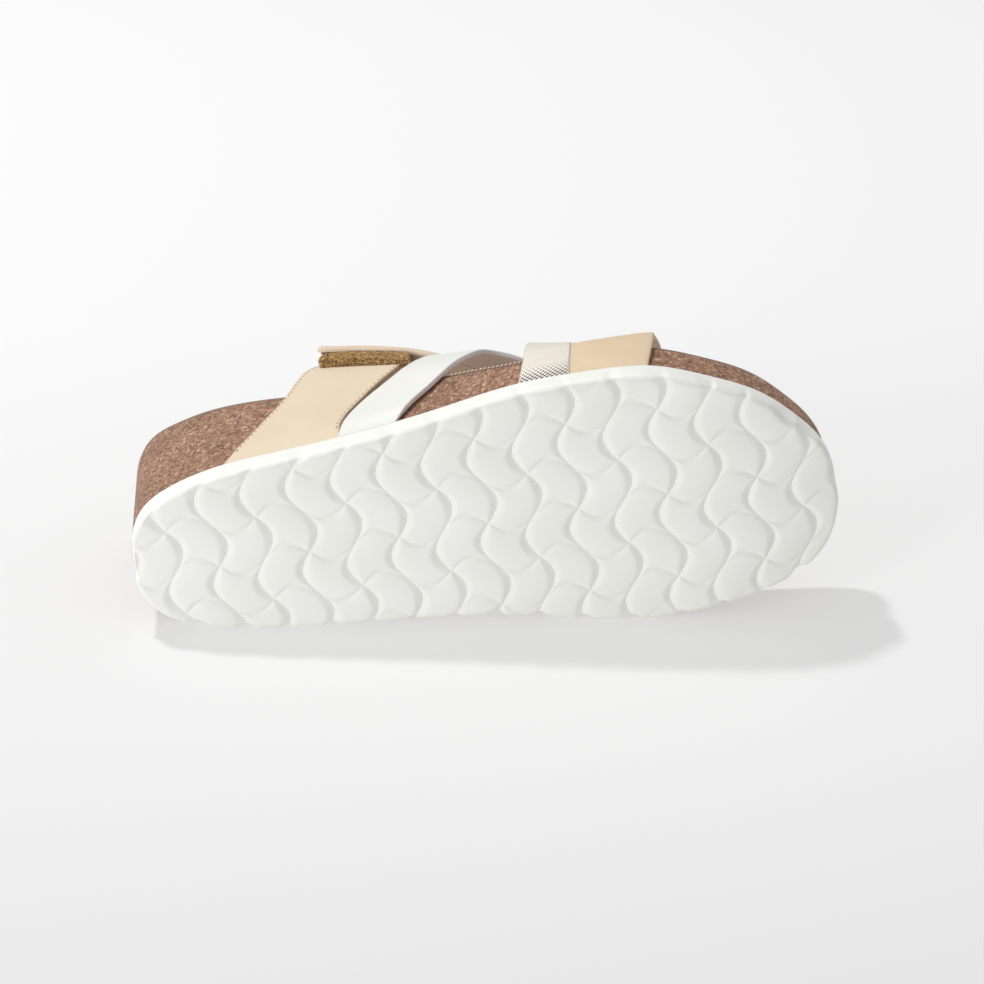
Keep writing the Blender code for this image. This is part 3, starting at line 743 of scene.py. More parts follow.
def foam_finish():
    """Moulded white foam: faint skin texture, and painted shade, a darker greener tone, in the grooves and
    over the rim's rounded edge, wall and top.
    """
    made, tree, shader = new_finish("outsole_foam", 0.6)
    place = object_place(tree)
    groove = node(tree, "ShaderNodeAttribute", attribute_name="groove").outputs["Fac"]
    cloud = spread(tree, noise(tree, place, 24.0, 4.0), 0.35, 0.65)
    skin = noise(tree, place, 1500.0, 3.0)
    top = mix(tree, cloud, colour(0.91, 0.915, 0.88), colour(0.885, 0.89, 0.835))
    # Painted shade: the groove mark mixes grooves and the rim towards a darker greener tone
    painted_groove_shade = mix(tree, maths(tree, "MULTIPLY", groove, 0.2), top, colour(0.76, 0.775, 0.72))
    link(tree, painted_groove_shade, shader.inputs["Base Color"])
    link(tree, spread(tree, skin, 0.3, 0.7, 0.54, 0.7), shader.inputs["Roughness"])
    bump(tree, shader, skin, 0.18, 0.0002)
    return made


def cork_finish():
    """Pressed cork: crumbs of several browns, pale flecks and dark pits."""
    made, tree, shader = new_finish("footbed_cork", 0.8, Sheen_Weight=0.06, Sheen_Roughness=0.5)
    place = object_place(tree)
    wobble = node(tree, "ShaderNodeTexNoise", {"Vector": place, "Scale": 600.0, "Detail": 2.0})
    shift = vector_maths(tree, "MULTIPLY", wobble.outputs["Color"], (0.0006, 0.0006, 0.0006))
    bent = vector_maths(tree, "ADD", place, shift)
    crumbs = node(tree, "ShaderNodeTexVoronoi", {"Vector": bent, "Scale": 900.0})
    pick = node(tree, "ShaderNodeSeparateColor", {"Color": crumbs.outputs["Color"]})
    browns = ramp(tree, pick.outputs["Red"], (
        (0.0, colour(0.18, 0.086, 0.05)),
        (0.3, colour(0.265, 0.136, 0.082)),
        (0.68, colour(0.325, 0.175, 0.108)),
        (0.9, colour(0.41, 0.238, 0.152)),
        (1.0, colour(0.56, 0.36, 0.238)),
    ))
    flecks = node(tree, "ShaderNodeTexVoronoi", {"Vector": bent, "Scale": 1250.0})
    fleck_pick = node(tree, "ShaderNodeSeparateColor", {"Color": flecks.outputs["Color"]}).outputs["Green"]
    pale = spread(tree, fleck_pick, 0.84, 0.92)
    dark = spread(tree, fleck_pick, 0.10, 0.04)
    light_flecks = mix(tree, maths(tree, "MULTIPLY", pale, 0.5), browns, colour(0.55, 0.36, 0.255))
    pitted = mix(tree, maths(tree, "MULTIPLY", dark, 0.6), light_flecks, colour(0.075, 0.036, 0.024))
    shade = spread(tree, noise(tree, place, 35.0, 3.0), 0.3, 0.7, 0.86, 1.12)
    tone = node(tree, "ShaderNodeCombineColor", {"Red": shade, "Green": shade, "Blue": shade})
    link(tree, mix(tree, 1.0, pitted, tone.outputs["Color"], "MULTIPLY"), shader.inputs["Base Color"])
    relief = maths(tree, "SUBTRACT", crumbs.outputs["Distance"], maths(tree, "MULTIPLY", dark, 0.8))
    link(tree, spread(tree, relief, 0.0, 0.6, 0.72, 0.9), shader.inputs["Roughness"])
    bump(tree, shader, relief, 0.35, 0.0004)
    return made


def suede_finish(name, base, shade):
    """Brushed suede: short nap in drifting tones."""
    made, tree, shader = new_finish(name, 0.9, Sheen_Weight=0.25, Sheen_Roughness=0.6)
    place = object_place(tree)
    nap = noise(tree, place, 2200.0, 4.0)
    drift = noise(tree, place, 70.0, 5.0)
    share = maths(tree, "MULTIPLY", maths(tree, "ADD", nap, drift), 0.5)
    link(tree, mix(tree, spread(tree, share, 0.36, 0.64), base, shade), shader.inputs["Base Color"])
    link(tree, spread(tree, nap, 0.3, 0.7, 0.82, 0.97), shader.inputs["Roughness"])
    bump(tree, shader, nap, 0.3, 0.0003)
    return made


def cut_edge_finish(name, base, shade):
    """Cut edge of a strap: layers and fibres seen from the side."""
    made, tree, shader = new_finish(name, 0.75)
    place = object_place(tree)
    fibres = noise(tree, place, 1300.0, 5.0)
    link(tree, mix(tree, spread(tree, fibres, 0.35, 0.65), base, shade), shader.inputs["Base Color"])
    link(tree, spread(tree, fibres, 0.3, 0.7, 0.65, 0.85), shader.inputs["Roughness"])
    bump(tree, shader, fibres, 0.3, 0.0002)
    return made


def woven_finish():
    """Pale shiny woven cloth: fine staggered floats, and painted shade that turns the gaps between floats
    near black towards the lateral foot.
    """
    made, tree, shader = new_finish("silver_weave", 0.4)
    surface = node(tree, "ShaderNodeUVMap", uv_map="surface").outputs["UV"]
    scaled = vector_maths(tree, "MULTIPLY", surface, (1150.0, 1150.0, 1150.0))
    parts = node(tree, "ShaderNodeSeparateXYZ", {"Vector": scaled})
    wave_u = maths(tree, "SINE", maths(tree, "MULTIPLY", parts.outputs["X"], math.pi))
    wave_v = maths(tree, "SINE", maths(tree, "MULTIPLY", parts.outputs["Y"], math.pi))
    check = maths(tree, "MULTIPLY", wave_u, wave_v)
    floats = spread(tree, check, -0.25, 0.25)
    height = node(tree, "ShaderNodeSeparateXYZ", {"Vector": surface}).outputs["X"]
    # Painted shade and dark reflection where the strap turns in at its lateral foot: full within 2 mm of it,
    # fading out by 8.5 mm
    low = spread(tree, height, 0.0085, 0.002, 0.03, 1.0)
    drift = spread(tree, noise(tree, scaled, 0.17, 3.0), 0.35, 0.65)
    bright = mix(tree, drift, colour(0.82, 0.75, 0.665), colour(0.79, 0.755, 0.66))
    base_shade_gaps = maths(tree, "MULTIPLY", maths(tree, "SUBTRACT", 1.0, floats), low)
    link(tree, mix(tree, base_shade_gaps, bright, colour(0.07, 0.065, 0.06)), shader.inputs["Base Color"])
    link(tree, spread(tree, floats, 0.0, 1.0, 0.05, 0.2), shader.inputs["Metallic"])
    link(tree, spread(tree, floats, 0.0, 1.0, 0.6, 0.38), shader.inputs["Roughness"])
    bump(tree, shader, check, 0.35, 0.0001)
    return made


def fibre_finish(name, base, shade):
    """Nylon pile: fibres of golden browns in streaks along the shoe."""
    made, tree, shader = new_finish(name, 0.55, Sheen_Weight=0.3)
    place = object_place(tree)
    streaked = vector_maths(tree, "MULTIPLY", place, (0.3, 1.0, 1.0))
    drift = noise(tree, streaked, 1700.0, 2.0)
    link(tree, mix(tree, spread(tree, drift, 0.38, 0.62), base, shade), shader.inputs["Base Color"])
    link(tree, spread(tree, drift, 0.3, 0.7, 0.45, 0.7), shader.inputs["Roughness"])
    return made


def thread_finish(name, base, shade):
    """Twisted sewing thread: slanting plies along each stitch."""
    made, tree, shader = new_finish(name, 0.6)
    place = object_place(tree)
    twist = {"Vector": place, "Scale": 900.0, "Distortion": 1.5}
    bands = node(tree, "ShaderNodeTexWave", twist, wave_type="BANDS", bands_direction="DIAGONAL")
    plies = bands.outputs["Fac"]
    link(tree, mix(tree, plies, base, shade), shader.inputs["Base Color"])
    link(tree, spread(tree, plies, 0.0, 1.0, 0.5, 0.7), shader.inputs["Roughness"])
    bump(tree, shader, plies, 0.3, 0.0001)
    return made


# Outsole

def cell_marks(first, last):
    """Numbers across the tread's cells, crowded at the grooves."""
    steps = np.linspace(first, last, (last - first) * CELL_STEPS + 1)
    return steps - CELL_CROWDING * np.sin(2 * math.pi * steps)


def groove_depth(column, row, inside):
    """Depth of the tread under the lugs' tops, and a mark of how much is groove, up to 2 at rear edges. The
    mark also sets the foam's painted shade.

    Each lug slopes down to the groove at its front, rounds off sharply at its rear, and meets its neighbours
    at pinched corners. At the border the grooves flare and the lugs round off.
    """
    column_share = column - np.floor(column)
    row_share = row - np.floor(row)
    near_row = np.minimum(row_share, 1 - row_share)
    pinch = 1 - CORNER_PINCH * (1 - np.sin(math.pi * row_share))
    cross_pinch = 1 - CORNER_PINCH * (1 - np.sin(math.pi * column_share))
    flare = 1 - rise(inside / FLARE_REACH)
    flank = pinch * (1 + GROOVE_FLARE * flare)
    front = np.clip(1 - (1 - column_share) / (GROOVE_FRONT_FLANK * flank), 0, 1)
    sharp_rear = np.clip(1 - column_share / (GROOVE_REAR_FLANK * pinch), 0, 1) ** GROOVE_RISE
    soft_rear = 1 - rise(column_share / (GROOVE_END_FLANK * pinch))
    rear = sharp_rear + (soft_rear - sharp_rear) * flare
    wide = np.maximum(front, rear) * pinch * (1 - FLARE_SHALLOW * flare)
    narrow = (1 - rise(near_row / (CROSS_FLANK * cross_pinch))) * cross_pinch * rise(inside / CROSS_FADE)
    crown = LUG_CROWN * ((2 * column_share - 1) ** 2 + (2 * row_share - 1) ** 2) / 2
    depth = np.maximum(GROOVE_DEEP * wide, CROSS_DEEP * narrow) + crown * (1 - wide)
    rounding = quarter(TREAD_EDGE_ROUND, np.maximum(inside, 0))
    # Rear flanks away from the border get an extra mark: painted shade over the fill light they catch
    groove = np.maximum(wide + rear * pinch * (1 - flare), narrow)
    return np.cbrt(depth ** 3 + rounding ** 3), groove


def border_finder():
    """Finder of the nearest spot on the outline."""
    finder = kdtree.KDTree(len(FINE_LOOP))
    for spot, (along, across) in enumerate(FINE_LOOP):
        finder.insert((along, across, 0.0), spot)
    finder.balance()
    return finder


def inside_by(spots):
    """How far spots lie inside the outline, below 0 outside it, and the outline's inward direction there."""
    finder = border_finder()
    nearest = np.array([finder.find((along, across, 0.0))[1] for along, across in spots])
    inward = inwards(FINE_LOOP)[nearest]
    return ((spots - FINE_LOOP[nearest]) * inward).sum(axis=1), inward


def tread_surface():
    """The tread trimmed just inside the outline: points, groove marks that also set the painted shade, faces,
    and its border in order.
    """
    columns = cell_marks(*TREAD_COLUMNS)
    rows = cell_marks(*TREAD_ROWS)
    column, row = (grid.ravel() for grid in np.meshgrid(columns, rows, indexing="ij"))
    spots = tread_to_shoe(*unwave(column, row))
    inside, _ = inside_by(spots)
    depth, groove = groove_depth(column, row, inside)
    number = np.arange(len(spots)).reshape(len(columns), len(rows))
    corners = (number[:-1, :-1], number[1:, :-1], number[1:, 1:], number[:-1, 1:])
    cells = np.stack(corners, axis=-1).reshape(-1, 4)
    inside = inside - TREAD_EDGE_START
    kept = inside > 0
    kept_corners = kept[cells].sum(axis=1)
    faces = cells[kept_corners == 4].tolist()
    values = np.column_stack([spots, depth, groove])
    cuts = {}
    cut_values = []
    border = {}

    def cut(first, second):
        """Number of the point where the trim crosses an edge between two points."""
        key = (min(first, second), max(first, second))
        if key not in cuts:
            share = inside[key[0]] / (inside[key[0]] - inside[key[1]])
            cuts[key] = len(values) + len(cut_values)
            cut_values.append(values[key[0]] * (1 - share) + values[key[1]] * share)
        return cuts[key]

    for cell in cells[(kept_corners > 0) & (kept_corners < 4)].tolist():
        polygon = []
        left_at = None
        came_at = None
        for here, after in zip(cell, cell[1:] + cell[:1]):
            if kept[here]:
                polygon.append(here)
            if kept[here] != kept[after]:
                polygon.append(cut(here, after))
                if kept[here]:
                    left_at = polygon[-1]
                else:
                    came_at = polygon[-1]
        faces.append(polygon)
        border[left_at] = came_at
    loop = [next(iter(border))]
    while border[loop[-1]] != loop[0] and len(loop) <= len(border):
        loop.append(border[loop[-1]])
    values = np.vstack([values, cut_values])
    used = np.unique(np.concatenate([np.ravel(face) for face in faces]))
    place = np.zeros(len(values), int)
    place[used] = np.arange(len(used))
    faces = [place[face].tolist() for face in faces]
    values = values[used]
    return values[:, :3], values[:, 3], faces, place[loop]


def outsole(finish):
    """The tread, its rounded edge with notches at the grooves' ends, the wall and the flat top."""
    points, groove, faces, loop = tread_surface()
    start, inward = inside_by(points[loop, :2])
    rings = []
    for spot in TREAD_EDGE_SPOTS:
        flat = points[loop, :2] - inward * (start - spot)[:, None]
        low, _ = groove_depth(*tread_cells(flat), np.full(len(flat), spot))
        rings.append(stack(flat, low))
    _, groove_end = groove_depth(*tread_cells(flat), np.zeros(len(flat)))
    notch_cut = 1 - LATERAL_NOTCH_CUT * np.clip(-inward[:, 1], 0, 1)
    notch = inward * (EDGE_NOTCH * notch_cut * groove_end)[:, None]
    for spot, ring in zip(TREAD_EDGE_SPOTS, rings):
        ring[:, :2] += notch * rise(1 - spot / TREAD_EDGE_START)
    wall_top = SOLE_THICK - SOLE_TOP_ROUND
    for level, share in enumerate(NOTCH_SHARES):
        up = (level + 1) / len(NOTCH_SHARES)
        rings.append(stack(flat + notch * share, low + (wall_top - low) * up))
    for turn in np.radians(SOLE_TOP_TURNS):
        drawn = flat + inward * SOLE_TOP_ROUND * (1 - math.cos(turn))
        rings.append(stack(drawn, wall_top + SOLE_TOP_ROUND * math.sin(turn)))
    below = list(loop)
    first = len(points)
    for level in range(len(rings)):
        ring = list(range(first + level * len(loop), first + (level + 1) * len(loop)))
        for spot in range(len(loop)):
            after = (spot + 1) % len(loop)
            faces.append((below[spot], below[after], ring[after], ring[spot]))
        below = ring
    faces.append(below)
    points = with_spring(np.vstack([points] + rings))
    # The rounded edge, wall and top take the full mark: painted shade that tones down their light
    marks = np.concatenate([groove, np.ones(len(points) - first)])
    return outwards(new_piece("outsole_foam", points, faces, [finish], marks={"groove": marks}), SOLE_SHARP)


# Footbed and insole

def cork_edge(distance):
    """The footbed's edge inside the outsole's rim, bulging backwards at the heel."""
    bulge = HEEL_BULGE * np.clip(1 - BED_LOOP[:, 0] / HEEL_BULGE_END, 0, 1) ** 2
    return inset(BED_LOOP, distance - bulge)


def zip_faces(first, count):
    """Faces across a ring that starts at the heel, each between its lateral and its medial side."""
    faces = []
    for spot in range(count // 2):
        lateral = [first + spot, first + spot + 1]
        medial = [first + (count - spot - 1) % count, first + (count - spot) % count]
        faces.append(tuple(dict.fromkeys(lateral + medial)))
    return faces


def ring_piece(name, rings, finishes, sharp, edge_bands=()):
    """Closed piece through rings of equal counts, capped at the first and the last. Edge bands take the
    second finish."""
    rings = [with_spring(ring) for ring in rings]
    count = len(rings[0])
    caps = zip_faces(0, count) + zip_faces((len(rings) - 1) * count, count)
    band_finish = [int(band in edge_bands) for band in range(len(rings) - 1)]
    face_finish = np.concatenate([np.repeat(band_finish, count), np.zeros(len(caps), int)])
    faces = band_faces(count, len(rings)) + caps
    return outwards(new_piece(name, np.vstack(rings), faces, finishes, face_finish), sharp)


def footbed(finish):
    """The block of cork: its wall, rounded rim and hollowed top."""
    floor = SOLE_THICK + PIECE_GAP
    low_edge = cork_edge(CORK_INSET_LOW)
    high_edge = cork_edge(CORK_INSET_HIGH)
    rim = rim_height(BED_LOOP[:, 0], BED_LOOP[:, 1]) - INSOLE_THICK - PIECE_GAP
    rings = [stack(low_edge, floor)]
    for share in np.linspace(0, 1, WALL_RINGS)[1:]:
        wall = low_edge + (high_edge - low_edge) * share
        rings.append(stack(wall, floor + (rim - RIM_ROUND - floor) * share))
    for turn in np.radians(RIM_TURNS):
        drawn = RIM_ROUND_INSET * (1 - math.cos(turn))
        rings.append(stack(inset(high_edge, drawn), rim - RIM_ROUND * (1 - math.sin(turn))))
    for share in BED_RING_SHARES:
        rings.append(bed_ring(high_edge, rim, share))
    return ring_piece("footbed_cork", rings, [finish], FOOTBED_SHARP)


def insole(finish, edge_finish):
    """The lining over the footbed, with its edge rounded over the rim."""
    edge = cork_edge(CORK_INSET_HIGH)
    rim = rim_height(BED_LOOP[:, 0], BED_LOOP[:, 1])
    under = rim - INSOLE_THICK
    rings = [bed_ring(edge, under, share) for share in reversed(BED_RING_SHARES)]
    edge_bands = range(len(rings), len(rings) + len(INSOLE_EDGE_TURNS))
    rings.append(stack(inset(edge, RIM_ROUND_INSET), under))
    for turn in np.radians(INSOLE_EDGE_TURNS):
        drawn = INSOLE_EDGE_INSET * (1 - math.cos(turn)) + INSOLE_EDGE_INSET / 2
        rings.append(stack(inset(edge, drawn), rim - INSOLE_THICK / 2 * (1 - math.sin(turn))))
    for share in BED_RING_SHARES:
        ring = bed_ring(edge, under, share)
        ring[:, 2] += INSOLE_THICK
        rings.append(ring)
    return ring_piece("insole_suede", rings, [finish, edge_finish], INSOLE_SHARP, edge_bands)


# Straps

def girth_section(along):
    """The arch's section at one place along the shoe, from lateral foot over the top to medial foot."""
    rim_lateral = float(heights("rim_lateral", along)) + STRAP_OVER_RIM
    rim_medial = float(heights("rim_medial", along)) + STRAP_OVER_RIM
    crown = float(heights("arch", along))
    shoulder = float(heights("shoulder", along))
    wall = np.linspace(0, 1, WALL_SPOTS, endpoint=False)
    flare = CORK_INSET_LOW + (CORK_INSET_HIGH - CORK_INSET_LOW) * wall
    lateral_top = float(edge_lateral(along)) - CORK_INSET_HIGH + STRAP_OFF_CORK
    medial_top = float(edge_medial(along)) + CORK_INSET_HIGH - STRAP_OFF_CORK
    lateral_wall = np.column_stack([
        lateral_top + CORK_INSET_HIGH - flare,
        STRAP_FOOT + (rim_lateral - STRAP_FOOT) * wall])
    medial_wall = np.column_stack([
        medial_top - CORK_INSET_HIGH + flare,
        STRAP_FOOT + (rim_medial - STRAP_FOOT) * wall])
    turn = np.linspace(0, math.pi, ARCH_SPOTS)
    lean = (1 + np.cos(turn)) / 2
    spring_height = rim_lateral * lean + rim_medial * (1 - lean)
    side = np.sign(np.cos(turn)) * np.abs(np.cos(turn)) ** shoulder
    lifted = np.abs(np.sin(turn)) ** shoulder
    arch_across = (lateral_top + medial_top) / 2 + (lateral_top - medial_top) / 2 * side
    arch_up = spring_height + (crown - spring_height) * lifted
    section = np.vstack([lateral_wall, np.column_stack([arch_across, arch_up]), medial_wall[::-1]])
    walked = np.concatenate([[0], np.cumsum(np.linalg.norm(np.diff(section, axis=0), axis=1))])
    return section, walked / walked[-1]


def arch_grid():
    """The arch at even steps along the shoe and round the girth."""
    girth = np.linspace(0, 1, ARCH_GIRTH_STEPS + 1)
    rows = []
    for along in ARCH_ALONG:
        section, share = girth_section(along)
        rows.append(np.column_stack([np.interp(girth, share, section[:, side]) for side in (0, 1)]))
    return np.array(rows)


ARCH = arch_grid()


def arch_point(along, girth):
    """Places on the arch."""
    last_place = len(ARCH_ALONG) - 1 - ARCH_LAST_SHARE
    place = np.clip((along - ARCH_ALONG[0]) / (ARCH_ALONG[1] - ARCH_ALONG[0]), 0, last_place)
    round_place = np.clip(girth, 0, 1) * (ARCH_GIRTH_STEPS - ARCH_LAST_SHARE)
    low = place.astype(int)
    round_low = round_place.astype(int)
    share = (place - low)[:, None]
    round_share = (round_place - round_low)[:, None]
    near = ARCH[low, round_low] * (1 - round_share) + ARCH[low, round_low + 1] * round_share
    far = ARCH[low + 1, round_low] * (1 - round_share) + ARCH[low + 1, round_low + 1] * round_share
    found = near * (1 - share) + far * share
    return np.column_stack([along, found[:, 0], found[:, 1] + toe_spring(along)])


def arch_outward(along, girth):
    """The way out of the arch at places on it."""
    before = np.maximum(girth - OUTWARD_STEP_GIRTH, 0)
    after = np.minimum(girth + OUTWARD_STEP_GIRTH, 1)
    step_along = arch_point(along + OUTWARD_STEP_ALONG, girth) - arch_point(along - OUTWARD_STEP_ALONG, girth)
    step_girth = arch_point(along, after) - arch_point(along, before)
    outward = np.cross(step_girth, step_along)
    return outward / np.linalg.norm(outward, axis=1)[:, None]


def strap_edges(rows, girths):
    return [smooth_column(rows, STRAP_TABLE_COLUMNS, name, girths) for name in STRAP_TABLE_COLUMNS[1:]]


def quarter(reach, distance):
    """How far a rounded end is drawn in at a distance from its tip."""
    left = np.clip(reach - distance, 0, reach)
    return reach - np.sqrt(reach ** 2 - left ** 2)


def tilted(tilt, girth, share):
    """Extra height of a strap between its rear and its front edge."""
    rear, front, dip = (smooth_column(tilt, TILT_COLUMNS, name, girth) for name in TILT_COLUMNS[1:])
    past_start = np.clip(share - DIP_START, 0, None) / (1 - DIP_START)
    return rear + (front - rear) * share - dip * past_start ** 2


def on_strap(rows, tilt, girth, share, height):
    """Places on a strap, and the way out there: girth of its middle line, share from rear to front edge,
    height over the inner face."""
    rear, front, lift, slant = strap_edges(rows, girth)
    along = rear + (front - rear) * share
    round_place = girth + slant * (share - 0.5)
    outward = arch_outward(along, round_place)
    height = height + lift + tilted(tilt, girth, share)
    return arch_point(along, round_place) + outward * height[:, None], outward


def strap_profile(thick, edge_round):
    """A strap's section from its rear edge over the outer face to the front edge and back along the lining:
    shift from the edges, share from rear to front, and height. Also how many spots its outer half has."""
    turns = np.radians(STRAP_EDGE_TURNS)
    profile = []
    for turn in turns:
        profile.append((edge_round * (1 - math.cos(turn)), 0.0, thick - edge_round * (1 - math.sin(turn))))
    for step in np.linspace(0, 1, STRAP_STEPS)[1:-1]:
        profile.append((edge_round * (1 - 2 * step), step, thick))
    for turn in turns[::-1]:
        profile.append((-edge_round * (1 - math.cos(turn)), 1.0, thick - edge_round * (1 - math.sin(turn))))
    upper_count = len(profile)
    for shift, share, height in list(reversed(profile)):
        profile.append((shift, share, thick - height))
    return [np.array(column) for column in zip(*profile)], upper_count


def strap_face_finishes(size, upper_count):
    """Finish of each face round a strap's section."""
    edge_spots = len(STRAP_EDGE_TURNS) - 1
    finish_row = [CUT_EDGE] * size
    for spot in range(edge_spots, upper_count - edge_spots - 1):
        finish_row[spot] = OUTER_FACE
    for spot in range(upper_count + edge_spots, size - edge_spots - 1):
        finish_row[spot] = LINING_FACE
    return finish_row


def strap(name, rows, thick, finishes, free_ends=(False, False), tilt=NO_TILT, swell=NO_TILT):
    """One strap: outer face, rounded cut edges and lining, its free ends rounded and its feet skived thin."""
    first = rows[0][0]
    last = rows[-1][0]
    girths = np.linspace(first, last, STRAP_LEAST_ROWS + round((last - first) * STRAP_ROWS_PER_GIRTH))
    girth_mm = np.linalg.norm(np.diff(girth_section(rows[0][1])[0], axis=0), axis=1).sum()
    tips = np.array(STRAP_END_ROWS) / girth_mm
    if free_ends[0]:
        girths = np.concatenate([girths, first + tips])
    if free_ends[1]:
        girths = np.concatenate([girths, last - tips])
    girths = np.unique(np.round(girths, 6))
    rear, front, lift, slant = strap_edges(rows, girths)
    from_tip = np.full(len(girths), NO_END_NEAR)
    if free_ends[0]:
        from_tip = np.minimum(from_tip, (girths - first) * girth_mm)
    if free_ends[1]:
        from_tip = np.minimum(from_tip, (last - girths) * girth_mm)
    edge_round = min(STRAP_EDGE_ROUND, thick * EDGE_ROUND_SHARE)
    corner = quarter(STRAP_END_CORNER, from_tip)
    thin = quarter(edge_round, from_tip) * STRAP_END_THIN
    from_foot = np.minimum(girths, 1 - girths) * girth_mm
    skive = FOOT_SKIVE + (1 - FOOT_SKIVE) * rise(from_foot / FOOT_REACH)
    (shifts, shares, levels), upper_count = strap_profile(thick, edge_round)
    size = len(shifts)
    points = []
    surface = []
    edge_near = []
    for row, girth in enumerate(girths):
        width = front[row] - rear[row] - 2 * corner[row]
        start = rear[row] + corner[row]
        along = start + shifts + width * shares
        share = (along - rear[row]) / (front[row] - rear[row])
        height = (thick / 2 + (levels - thick / 2) * (1 - 2 * thin[row] / thick)) * skive[row]
        held_share = np.clip(share, 0, 1)
        round_place = girth + slant[row] * (share - 0.5)
        outward = arch_outward(along, round_place)
        height = height * (1 + tilted(swell, girth, held_share) / thick)
        height = height + lift[row] + tilted(tilt, girth, held_share)
        points.append(arch_point(along, round_place) + outward * height[:, None])
        surface.append(np.column_stack([np.full(size, girth * girth_mm), along - rear[row]]) * MM)
        side_near = np.minimum(along - start, start + width - along)
        edge_near.append(np.minimum(np.maximum(side_near, 0), from_tip[row]))
    faces = band_faces(size, len(girths))
    face_finish = strap_face_finishes(size, upper_count) * (len(girths) - 1) + [CUT_EDGE, CUT_EDGE]
    end = (len(girths) - 1) * size
    faces += [tuple(range(size)), tuple(range(end, end + size))]
    made = new_piece(name, np.vstack(points), faces, finishes, face_finish, np.vstack(surface),
                     {"edge_near": np.concatenate(edge_near)})
    return outwards(made, STRAP_SHARP)


# Stitches and pile, by Geometry Nodes

def new_tree(name, sizes):
    """Geometry tree with its inputs and outputs: the geometry, named sizes and a material."""
    tree = bpy.data.node_groups.new(name, "GeometryNodeTree")
    tree.interface.new_socket("Geometry", in_out="INPUT", socket_type="NodeSocketGeometry")
    for label, value in sizes:
        kind = "NodeSocketInt" if isinstance(value, int) else "NodeSocketFloat"
        tree.interface.new_socket(label, in_out="INPUT", socket_type=kind).default_value = value
    tree.interface.new_socket("Finish", in_out="INPUT", socket_type="NodeSocketMaterial")
    tree.interface.new_socket("Geometry", in_out="OUTPUT", socket_type="NodeSocketGeometry")
    return tree, node(tree, "NodeGroupInput").outputs, node(tree, "NodeGroupOutput").inputs


def end_tree(tree, given, put, instances):
    """The instances made real, smooth and painted, as the tree's result."""
    real = node(tree, "GeometryNodeRealizeInstances", {"Geometry": instances})
    smooth = node(tree, "GeometryNodeSetShadeSmooth", {"Geometry": real.outputs["Geometry"]})
    painted = node(tree, "GeometryNodeSetMaterial", {
        "Geometry": smooth.outputs["Geometry"], "Material": given["Finish"]})
    link(tree, painted.outputs["Geometry"], put["Geometry"])


def stitch_tree():
    """A row of stitches along a line that knows which way is out."""
    tree, given, put = new_tree("stitch_row", (
        ("Pitch", 0.0024),
        ("Length", 0.0011),
        ("Width", 0.00045),
        ("Height", 0.0003),
    ))
    line = node(tree, "GeometryNodeMeshToCurve", {"Mesh": given["Geometry"]})
    spacing = {"Curve": line.outputs["Curve"], "Length": given["Pitch"]}
    spaced = node(tree, "GeometryNodeResampleCurve", spacing, mode="LENGTH")
    stitch = node(tree, "GeometryNodeMeshUVSphere", {"Segments": 8, "Rings": 6, "Radius": 0.5})
    sizes = {"X": given["Length"], "Y": given["Width"], "Z": given["Height"]}
    size = node(tree, "ShaderNodeCombineXYZ", sizes)
    outward = node(tree, "GeometryNodeInputNamedAttribute", {"Name": "outward"}, data_type="FLOAT_VECTOR")
    tangent = node(tree, "GeometryNodeInputTangent").outputs["Tangent"]
    ahead = node(tree, "FunctionNodeAlignRotationToVector", {"Vector": tangent}, axis="X")
    facing = {"Rotation": ahead.outputs["Rotation"], "Vector": outward.outputs["Attribute"]}
    turned = node(tree, "FunctionNodeAlignRotationToVector", facing, axis="Z", pivot_axis="X")
    row = node(tree, "GeometryNodeInstanceOnPoints", {
        "Points": spaced.outputs["Curve"],
        "Instance": stitch.outputs["Mesh"],
        "Rotation": turned.outputs["Rotation"],
        "Scale": size.outputs["Vector"],
    })
    end_tree(tree, given, put, row.outputs["Instances"])
    return tree


def pile_tree():
    """Curled fibres standing off a tape's open sides."""
    tree, given, put = new_tree("pile", (
        ("Density", 5.5e6),
        ("Curl", 0.0008),
        ("Fibre", 0.00011),
        ("Seed", LOOP_SEED),
    ))
    grown = node(tree, "GeometryNodeDistributePointsOnFaces", {
        "Mesh": given["Geometry"], "Density": given["Density"], "Seed": given["Seed"]})
    curl = {"Resolution": 5, "Radius": given["Curl"], "Sweep Angle": math.radians(FIBRE_SWEEP)}
    arc = node(tree, "GeometryNodeCurveArc", curl)
    round_fibre = node(tree, "GeometryNodeCurvePrimitiveCircle", {"Resolution": 3, "Radius": given["Fibre"]})
    fibre = node(tree, "GeometryNodeCurveToMesh", {
        "Curve": arc.outputs["Curve"],
        "Profile Curve": round_fibre.outputs["Curve"],
        "Fill Caps": True,
    })
    up = node(tree, "FunctionNodeAlignRotationToVector", {"Vector": grown.outputs["Normal"]}, axis="Y")
    lean = node(tree, "FunctionNodeRandomValue", data_type="FLOAT_VECTOR")
    lean.inputs["Min"].default_value = (-FIBRE_LEAN, -math.pi, -FIBRE_LEAN)
    lean.inputs["Max"].default_value = (FIBRE_LEAN, math.pi, FIBRE_LEAN)
    link(tree, given["Seed"], lean.inputs["Seed"])
    leaning = {"Rotation": up.outputs["Rotation"], "Rotate By": lean.outputs["Value"]}
    turned = node(tree, "FunctionNodeRotateRotation", leaning, rotation_space="LOCAL")
    size = node(tree, "FunctionNodeRandomValue", data_type="FLOAT")
    size.inputs["Min"].default_value = FIBRE_SIZES[0]
    size.inputs["Max"].default_value = FIBRE_SIZES[1]
    link(tree, given["Seed"], size.inputs["Seed"])
    tufts = node(tree, "GeometryNodeInstanceOnPoints", {
        "Points": grown.outputs["Points"],
        "Instance": fibre.outputs["Mesh"],
        "Rotation": turned.outputs["Rotation"],
        "Scale": size.outputs["Value"],
    })
    end_tree(tree, given, put, tufts.outputs["Instances"])
    return tree


